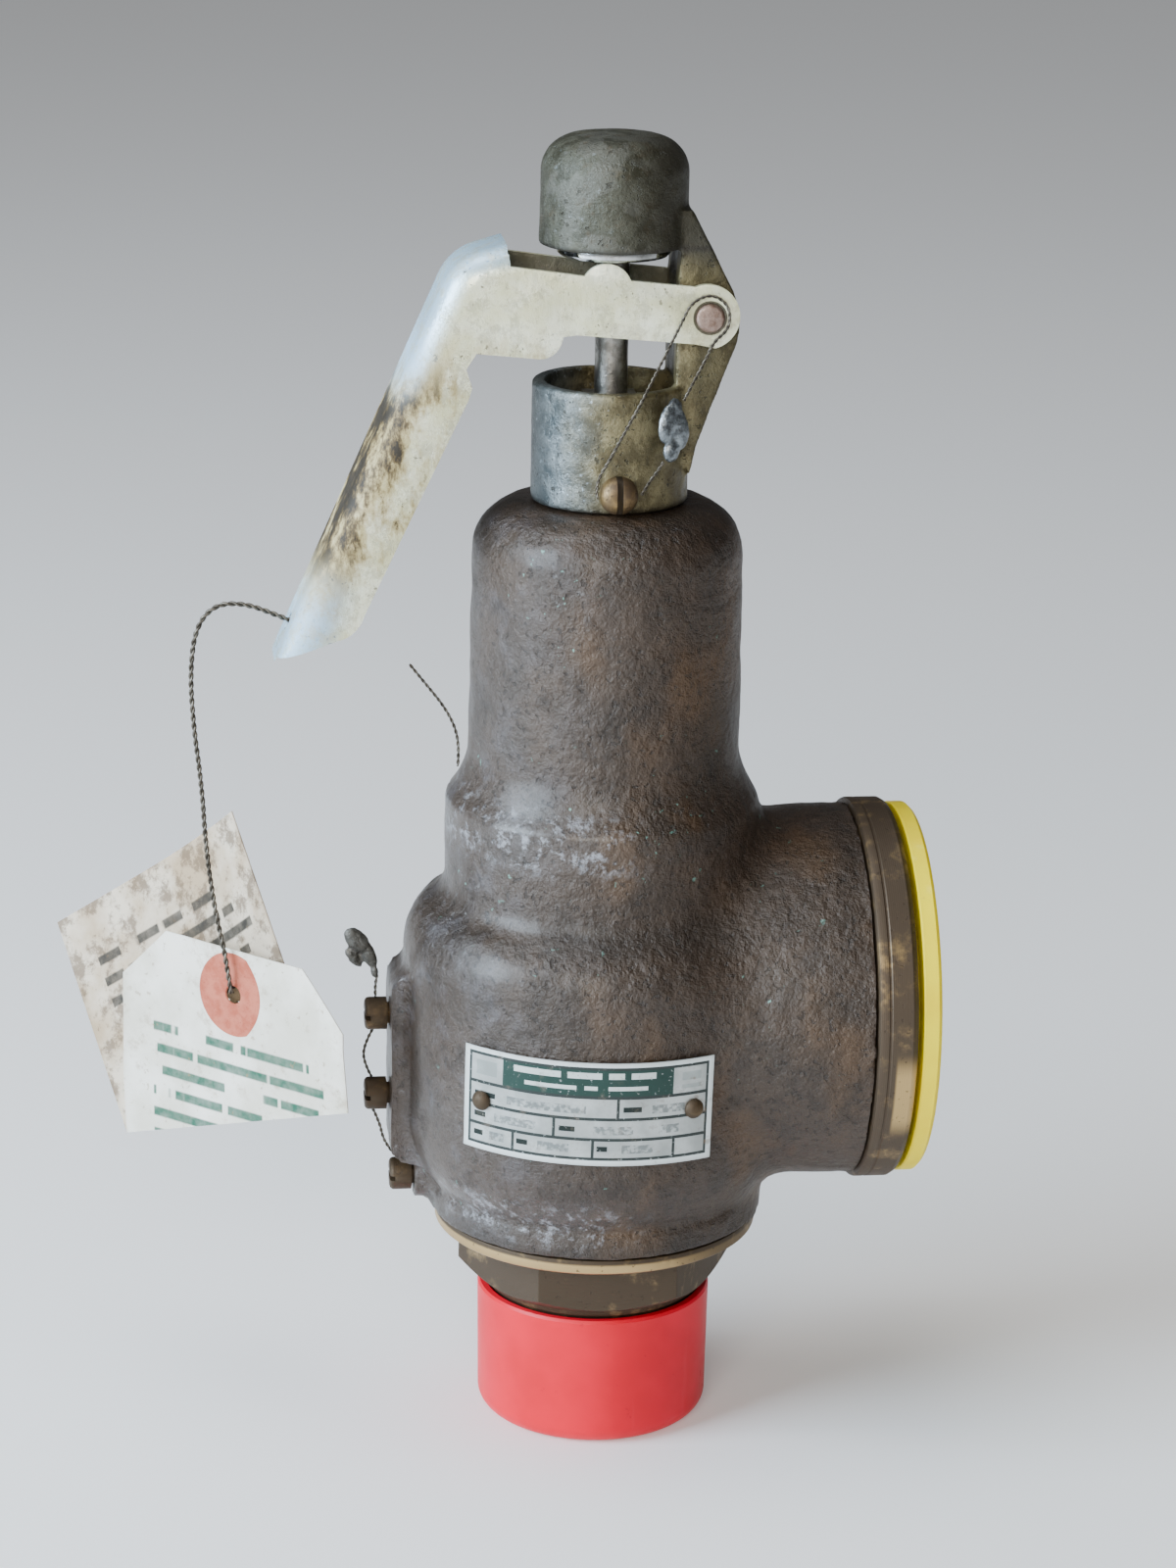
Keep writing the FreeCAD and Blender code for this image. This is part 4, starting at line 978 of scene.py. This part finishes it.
def plate_finish():
    """Printed foil: green band, ruled boxes, and bars in place of lettering."""
    f = Finish("nameplate_foil")
    flat = f.node("UVMap", {"uv_map": "flat"})
    u, v, _ = f.axes(flat)

    def block(left, right, low, high):
        """1 inside a rectangle of the flat map."""
        return u.over(left) * u.under(right) * v.over(low) * v.under(high)

    def blocks(places):
        """1 inside any of several rectangles."""
        mask = block(*places[0])
        for place in places[1:]:
            mask = mask.highest(block(*place))
        return mask

    foil = f.colour(f.noise(8 * MM, 4).ramp(0.35, 0.7), (0.34, 0.36, 0.35), (0.52, 0.55, 0.54))
    foil = f.colour(1 - block(0.026, 0.974, PLATE_RULES[3], 0.945), foil, (0.70, 0.76, 0.76))
    band = block(0.17, 0.83, PLATE_RULES[0], 0.955)
    border = block(EDGE_LEFT, EDGE_RIGHT, PLATE_RULES[3] - 0.018, 0.957)
    border = border * (1 - block(0.0325, 0.9675, PLATE_RULES[3] + 0.010, 0.930))
    rules = blocks([(EDGE_LEFT, EDGE_RIGHT, at - RULE_HALF, at + RULE_HALF) for at in PLATE_RULES[:3]])
    splits = blocks([(at - SPLIT_HALF, at + SPLIT_HALF, PLATE_RULES[row + 1], PLATE_RULES[row])
                     for row, at in PLATE_SPLITS])
    ink = border.highest(rules).highest(splits)
    labels = blocks(in_rows(ROW_LABELS, 0.07, 0.12))
    stamped = blocks(in_rows(STAMPED_BARS, 0.05, 0.13))
    words = blocks(BAND_WORDS)
    corner = blocks(CORNER_MARKS)
    chipped = 1 - f.noise(1.0 * MM, 3, 0.6).ramp(0.64, 0.70) * 0.8
    base = f.colour(band * chipped, foil, (0.002, 0.030, 0.022))
    base = f.colour(words * 0.85 * chipped, base, (0.62, 0.68, 0.66))
    base = f.colour(corner * 0.30, base, (0.10, 0.16, 0.15))
    base = f.colour(ink.highest(labels) * chipped, base, (0.012, 0.020, 0.018))
    base = f.colour(stamped * 0.70 * f.noise(1.3 * MM, 2).ramp(0.35, 0.6), base, (0.10, 0.12, 0.12))
    grime = f.noise(4 * MM, 6, 0.72).ramp(0.54, 0.68)
    edge = 1 - u.inside(0.0, 1.0, 0.02) * v.inside(0.0, 1.0, 0.045)
    base = f.colour((grime * 0.40).highest(edge * 0.55), base, (0.16, 0.13, 0.10))
    rust = f.noise(6 * MM, 4, 0.6).ramp(0.62, 0.72) * u.ramp(0.55, 0.95)
    base = f.colour(rust * 0.6, base, (0.20, 0.13, 0.07))
    printed = band.highest(ink)
    height = stamped * (-0.10 * MM) + f.noise(7 * MM, 2) * (0.35 * MM) + f.noise(1.2 * MM, 3) * (0.04 * MM)
    metal = 0.55 - printed * 0.45
    return f.wear(Base_Color=base, Metallic=metal, Roughness=0.34 + grime * 0.25).relief(height)


plate_foil = plate_finish()
print("nameplate nodes:", len(plate_foil.tree.nodes))


# %% Nameplate
PLATE_CENTRE_ANGLE = math.radians(-100.0)
PLATE_HALF_ANGLE = math.radians(36.8)
PLATE_TILT = math.radians(-1.3)
PLATE_R = 54.75 * MM
PLATE_SHEET = 0.32 * MM


def make_nameplate():
    """Grid bent round the bulb, slightly buckled, then thickened."""
    low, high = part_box("nameplate")
    width = 2 * PLATE_HALF_ANGLE * PLATE_R
    height = high.z - low.z
    bm = bmesh.new()
    bmesh.ops.create_grid(bm, x_segments=96, y_segments=40, size=0.5)
    layer = bm.loops.layers.uv.new("flat")
    for face in bm.faces:
        for loop in face.loops:
            loop[layer].uv = (loop.vert.co.x + 0.5, loop.vert.co.y + 0.5)
    for v in bm.verts:
        across = v.co.x * width
        up = v.co.y * height
        turned = across * math.cos(PLATE_TILT) - up * math.sin(PLATE_TILT)
        lifted = across * math.sin(PLATE_TILT) * 0.6 + up * math.cos(PLATE_TILT)
        end = max(0.0, abs(v.co.x) - 0.38) / 0.12
        buckle = 0.10 * math.sin(9 * v.co.x) * math.sin(3 * v.co.y + 1) + 0.16 * end * (0.5 + v.co.y)
        r = PLATE_R + (0.08 + abs(buckle)) * MM
        angle = PLATE_CENTRE_ANGLE + turned / PLATE_R
        v.co = (r * math.cos(angle), r * math.sin(angle), (low.z + high.z) / 2 + lifted)
    mesh = shaped(mesh_from(bm), ("SOLIDIFY", {"thickness": PLATE_SHEET, "offset": 1.0}))
    return finish_piece("name_plate", mesh, plate_foil, "valve", "nameplate_foil", "nameplate", smooth=50)


make_nameplate()

# %% [markdown]
# ## Lead seals
# A lead seal is a soft slug that a pair of pliers squeezes round the ends of a wire. It spreads into
# two uneven lobes with a crease between them. A few flattened balls, rebuilt as one skin from small
# cells, run together in the same soft way.

# %% Lead seals
def make_slug(name, lobes, voxel, finish, node):
    """One soft skin round several stretched balls, each given by its centre, half sizes and turns."""
    bm = bmesh.new()
    for centre, size, (lean, turn) in lobes:
        place = Matrix.Translation(Vector(centre) * MM) @ Matrix.Rotation(math.radians(turn), 4, "Z")
        place = place @ Matrix.Rotation(math.radians(lean), 4, "Y")
        place = place @ Matrix.Diagonal((*(s * MM for s in size), 1))
        bmesh.ops.create_uvsphere(bm, u_segments=28, v_segments=18, radius=1, matrix=place)
    mesh = shaped(mesh_from(bm), ("REMESH", {"mode": "VOXEL", "voxel_size": voxel * MM}),
                  ("SMOOTH", {"factor": 0.5, "iterations": 3}), ("DISPLACE", lumps(1.8 * MM, 0.5 * MM)))
    return finish_piece(name, mesh, finish, "valve", "lead", node, smooth=60)


YOKE_SEAL_TURN = 36.4
YOKE_SEAL = [
    ((12.6, -20.8, 286.4), (3.4, 1.9, 5.6), (14, YOKE_SEAL_TURN)),
    ((15.9, -18.6, 284.4), (3.2, 2.2, 5.8), (-12, YOKE_SEAL_TURN)),
    ((13.9, -19.8, 279.2), (3.0, 1.8, 3.6), (20, YOKE_SEAL_TURN)),
    ((14.6, -19.4, 290.2), (2.3, 1.7, 3.0), (-20, YOKE_SEAL_TURN))]
RING_SEAL = [
    ((-66.8, -0.2, 138.8), (2.9, 1.9, 4.6), (-42, 8)),
    ((-63.6, 0.4, 134.6), (2.2, 1.7, 4.6), (-24, -14)),
    ((-67.6, 0.3, 133.6), (1.7, 1.4, 4.0), (-40, 24)),
    ((-61.9, 0.0, 129.6), (1.2, 1.1, 2.2), (-14, 0))]
make_slug("collar_seal", YOKE_SEAL, 0.34, lead, "yoke_lead_seal")
make_slug("ring_seal", RING_SEAL, 0.32, dull_lead, "ring_lead_seal")

# %% [markdown]
# ## Wires
# The same two-strand winding serves every wire. The tied wires of the two seals run between fixed
# points of the valve, so they simply ride on it. The free tag wire hangs on the tag, and the seal's tail
# rides on the valve.

# %% Wires
YOKE_WIRE_RUNS = [
    [(-5.8, -22.6, 267.0), (-6.5, -22.3, 270.6), (-2.4, -22.0, 277.6), (1.6, -21.9, 285.2),
     (5.6, -20.9, 292.2), (9.2, -18.2, 298.4), (12.8, -15.7, 304.8), (16.3, -14.7, 311.4),
     (18.7, -14.6, 317.0), (24.2, -14.6, 319.4), (29.0, -14.6, 316.0), (29.0, -14.6, 310.0),
     (25.0, -14.6, 306.8), (22.6, -15.0, 301.4), (19.6, -16.6, 296.4), (17.0, -18.2, 291.9)],
    [(11.6, -20.9, 276.2), (10.0, -20.7, 273.4), (7.6, -21.6, 270.6), (5.8, -22.6, 267.8)]]
RING_WIRE_RUNS = [
    [(-61.6, 0, 122.3), (-61.9, 0, 125.2), (-61.2, 0, 128.6)],
    [(-62.4, 0, 112.75), (-64.6, 0, 108.6), (-65.0, 0, 103.4), (-62.6, 0, 98.85)],
    [(-62.2, 0, 89.35), (-60.4, 0, 85.4), (-59.4, 0, 80.6), (-57.4, 0, 77.2), (-55.6, 0, 74.85)]]
STRAND_R = 0.23 * MM
TAG_STRAND_R = 0.38 * MM
TIED_PITCH, TAIL_PITCH, TAG_PITCH = 3.2 * MM, 3.4 * MM, 4.6 * MM


def make_wire(name, middles, strand_r, pitch, body, node):
    """Two strands wound round each of some middle lines, sunk a little into each other."""
    lines = []
    for places in middles:
        lines += twisted_lines(places, strand_r * 0.95, pitch)
    return finish_piece(name, tube_mesh(lines, strand_r), seal_wire, body, "seal_wire", node, smooth=80)


def make_tied_wire(name, runs, node):
    """Twisted wire in several runs, given in millimetres."""
    middles = [smooth_line([Vector(p) * MM for p in run]) for run in runs]
    return make_wire(name, middles, STRAND_R, TIED_PITCH, "valve", node)


make_tied_wire("collar_wire", YOKE_WIRE_RUNS, "yoke_seal_wire")
make_tied_wire("ring_wire", RING_WIRE_RUNS, "ring_seal_wire")

tail = make_wire("wire_tail", [tail_line], STRAND_R, TAIL_PITCH, "valve", "seal_wire_tail")
hanger = make_wire("hanging_wire", [tag_line], TAG_STRAND_R, TAG_PITCH, "tag", "tag_wire")

# %% [markdown]
# ## Tag
# A cloth-backed paper tag hangs on its wire, folded once so that its second leaf stands up behind the
# first. Each leaf is a flat grid, trimmed by cutting planes, given a slow curl, and thickened. The
# print is only bars: green on the clean front leaf, dark on the grimy back leaf.

# %% Tag finish
LINES_PER_WIDTH = 12.5
WORDS_PER_WIDTH = 13.0


def tag_finish(name, paper, stain, ink, dirt, heavy):
    """Printed paper with stains. The map's unit is the tag's width, and each row draws its own words."""
    f = Finish(name, Roughness=0.78)
    flat = f.node("UVMap", {"uv_map": "flat"})
    u, v, _ = f.axes(flat)
    line = v * LINES_PER_WIDTH
    row = f.node("Math", {"operation": "FLOOR"}, {0: line})
    bar = (line - row).inside(0.28, 0.70, 0.05)
    cell = f.node("CombineXYZ", values={0: u * WORDS_PER_WIDTH, 1: row * 7.31, 2: 0.5})
    words = f.node("TexNoise", values={"Vector": cell, "Scale": 1.0, "Detail": 1.0, "Roughness": 0.6})
    words = words.ramp(0.40, 0.43)
    rows_place = f.node("CombineXYZ", values={1: row * 3.7})
    rows_end = f.node("TexNoise", values={"Vector": rows_place, "Scale": 1.0})
    field = u.over(0.13) * (rows_end * 0.5 + 0.62 - u).over(0) * v.inside(0.30, 1.45, 0.002)
    text = bar * words * field
    fibres = f.noise(1.1 * MM, 4, 0.65)
    base = f.colour(f.noise(16 * MM, 4).ramp(0.35, 0.68), paper, stain)
    grime = f.noise(9 * MM, 7, 0.75).ramp(0.58 - heavy * 0.10, 0.72 - heavy * 0.12)
    base = f.colour(grime * (0.25 + heavy * 0.50), base, dirt)
    base = f.colour(text * (0.65 + f.noise(3 * MM, 3) * 0.5), base, ink)
    specks = f.noise(2.0 * MM, 3).ramp(0.66, 0.70)
    base = f.colour(specks * 0.5, base, dirt)
    edge = 1 - u.inside(0.0, 1.0, 0.03)
    base = f.colour(edge * 0.35, base, dirt)
    height = fibres * (0.05 * MM) + f.noise(14 * MM, 3) * (0.5 * MM)
    return f.wear(Base_Color=base).relief(height)


front_paper = tag_finish("tag_stock", (0.80, 0.78, 0.71), (0.62, 0.60, 0.51), (0.010, 0.095, 0.055),
                         (0.28, 0.19, 0.10), 0.40)
back_paper = tag_finish("tag_back", (0.60, 0.52, 0.41), (0.40, 0.30, 0.19), (0.022, 0.018, 0.012),
                        (0.100, 0.060, 0.030), 1.0)
patch_paper = metal_finish("patch_paper", (0.47, 0.130, 0.075), (0.37, 0.085, 0.047), 4 * MM, 0.75, 0.0, 0.03)
print("papers:", [m.material.name for m in (front_paper, back_paper, patch_paper)])


# %% Tag
TAG_HOLE = Vector((-100.2, -2.0, 124.5)) * MM
TAG_TURN = math.radians(-42.0)
TAG_HALF = 39.5 * MM
TAG_LENGTH = 127.0 * MM
RING_END = 13.0 * MM
CLIP = 15.0 * MM
FOLD_DROP = 37.5 * MM
FOLD_SLOPE = math.radians(17.5)
LEAF_OPENING = math.radians(12.0)
TAG_HOLE_R = 2.6 * MM
HANGING = Matrix.Translation(TAG_HOLE) @ Matrix.Rotation(TAG_TURN, 4, "Z")
PAPER = 0.34 * MM


def leaf_grid(low, high):
    """Upright grid of the tag's width from one height to another, with its flat map."""
    bm = bmesh.new()
    rows = max(2, round((high - low) / (1.6 * MM)))
    bmesh.ops.create_grid(bm, x_segments=50, y_segments=rows, size=0.5)
    for v in bm.verts:
        v.co = (v.co.x * 2 * TAG_HALF, 0, low + (v.co.y + 0.5) * (high - low))
    layer = bm.loops.layers.uv.new("flat")
    for face in bm.faces:
        for loop in face.loops:
            x, _, z = loop.vert.co
            loop[layer].uv = (x / (2 * TAG_HALF) + 0.5, (RING_END - z) / (2 * TAG_HALF))
    return bm


def trim(bm, place, outwards):
    """Cut away all that lies beyond a plane."""
    bmesh.ops.bisect_plane(bm, geom=bm.verts[:] + bm.edges[:] + bm.faces[:], dist=1e-7, plane_co=place,
                           plane_no=outwards, clear_outer=True)


def curl(x, z):
    """How far the paper stands forward at a place on the tag."""
    ripple = math.sin(x / (24 * MM) + 0.6) * math.cos(z / (31 * MM)) * 0.9
    corner = (max(0.0, abs(x) - 20 * MM) / (20 * MM)) ** 2 * 1.6
    return (ripple + corner) * MM


def finish_leaf(name, bm, paper):
    """Thicken a leaf, hang it from its hole, and give it its print."""
    mesh = shaped(mesh_from(bm), ("SOLIDIFY", {"thickness": PAPER, "offset": 0.0}))
    mesh.transform(HANGING)
    finish_piece(name, mesh, paper, "tag", "tag_stock", "tag", smooth=50)


def make_front_leaf():
    """Front leaf: clipped corners, a hole, and the fold at its foot."""
    bm = leaf_grid(-55 * MM, RING_END)
    for side in (-1, 1):
        trim(bm, (side * TAG_HALF, 0, RING_END - CLIP), (side, 0, 1))
    trim(bm, (0, 0, -FOLD_DROP), (math.sin(FOLD_SLOPE), 0, -math.cos(FOLD_SLOPE)))
    in_hole = [f for f in bm.faces if f.calc_center_median().xz.length < TAG_HOLE_R]
    bmesh.ops.delete(bm, geom=in_hole, context="FACES")
    for v in bm.verts:
        from_fold = v.co.z + FOLD_DROP - v.co.x * math.tan(FOLD_SLOPE)
        forward = curl(v.co.x, v.co.z) * min(1.0, from_fold / (18 * MM))
        v.co.y = -forward * min(1.0, v.co.xz.length / (16 * MM))
    finish_leaf("tag_front", bm, front_paper)


def make_back_leaf():
    """Back leaf: from the fold up and west behind the front leaf, opened a little."""
    far = -(TAG_LENGTH - RING_END)
    bm = leaf_grid(far, -22 * MM)
    trim(bm, (0, 0, -FOLD_DROP), (-math.sin(FOLD_SLOPE), 0, math.cos(FOLD_SLOPE)))
    fold = Vector((math.cos(FOLD_SLOPE), 0, math.sin(FOLD_SLOPE)))
    hinge = Vector((0, 0, -FOLD_DROP))
    folded = Matrix.Rotation(math.pi - LEAF_OPENING, 4, fold)
    turn = Matrix.Translation(hinge) @ folded @ Matrix.Translation(-hinge)
    for v in bm.verts:
        from_fold = -(v.co.z + FOLD_DROP - v.co.x * math.tan(FOLD_SLOPE))
        v.co.y = curl(v.co.x + 20 * MM, v.co.z) * 0.8 * min(1.0, from_fold / (20 * MM))
    bm.transform(turn)
    finish_leaf("tag_back", bm, back_paper)


def make_patch():
    """Round paper patch with a hole, pressed on the front leaf."""
    outline = [(2.5, -0.30), (11.7, -0.30), (12.0, -0.42), (11.9, -0.62), (2.7, -0.62)]
    bm = spun([(r * MM, y * MM, 0) for r, y in outline], (0, 0, 0), (0, 1, 0), 64)
    mesh = mesh_from(bm)
    mesh.transform(HANGING)
    return finish_piece("tag_ring", mesh, patch_paper, "tag", "patch_paper", "tag_patch", smooth=40)


make_front_leaf()
make_back_leaf()
tag_ring = make_patch()

# %% [markdown]
# ## Parts kept as they are
# The inner parts, the nameplate's drive screws and the two protectors are already right in the frame,
# so they only get a finish.

# %% Finishes for the kept parts
KEPT = {
    "inlet_cap": red_plastic, "outlet_plug": yellow_plastic, "nameplate_screws": screw_brass,
    "stem": stem_steel, "stem_clip": spring_steel, "spring": spring_steel, "disc": stem_steel,
    "disc_holder": nozzle_brass, "disc_guide": nozzle_brass, "lower_ring": nozzle_brass,
    "upper_ring": nozzle_brass,
    "lower_spring_washer": spring_steel, "upper_spring_washer": spring_steel}
for name, finish in KEPT.items():
    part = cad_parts[name]
    part.data.materials.clear()
    part.data.materials.append(finish.material)
print("kept parts:", len(KEPT))
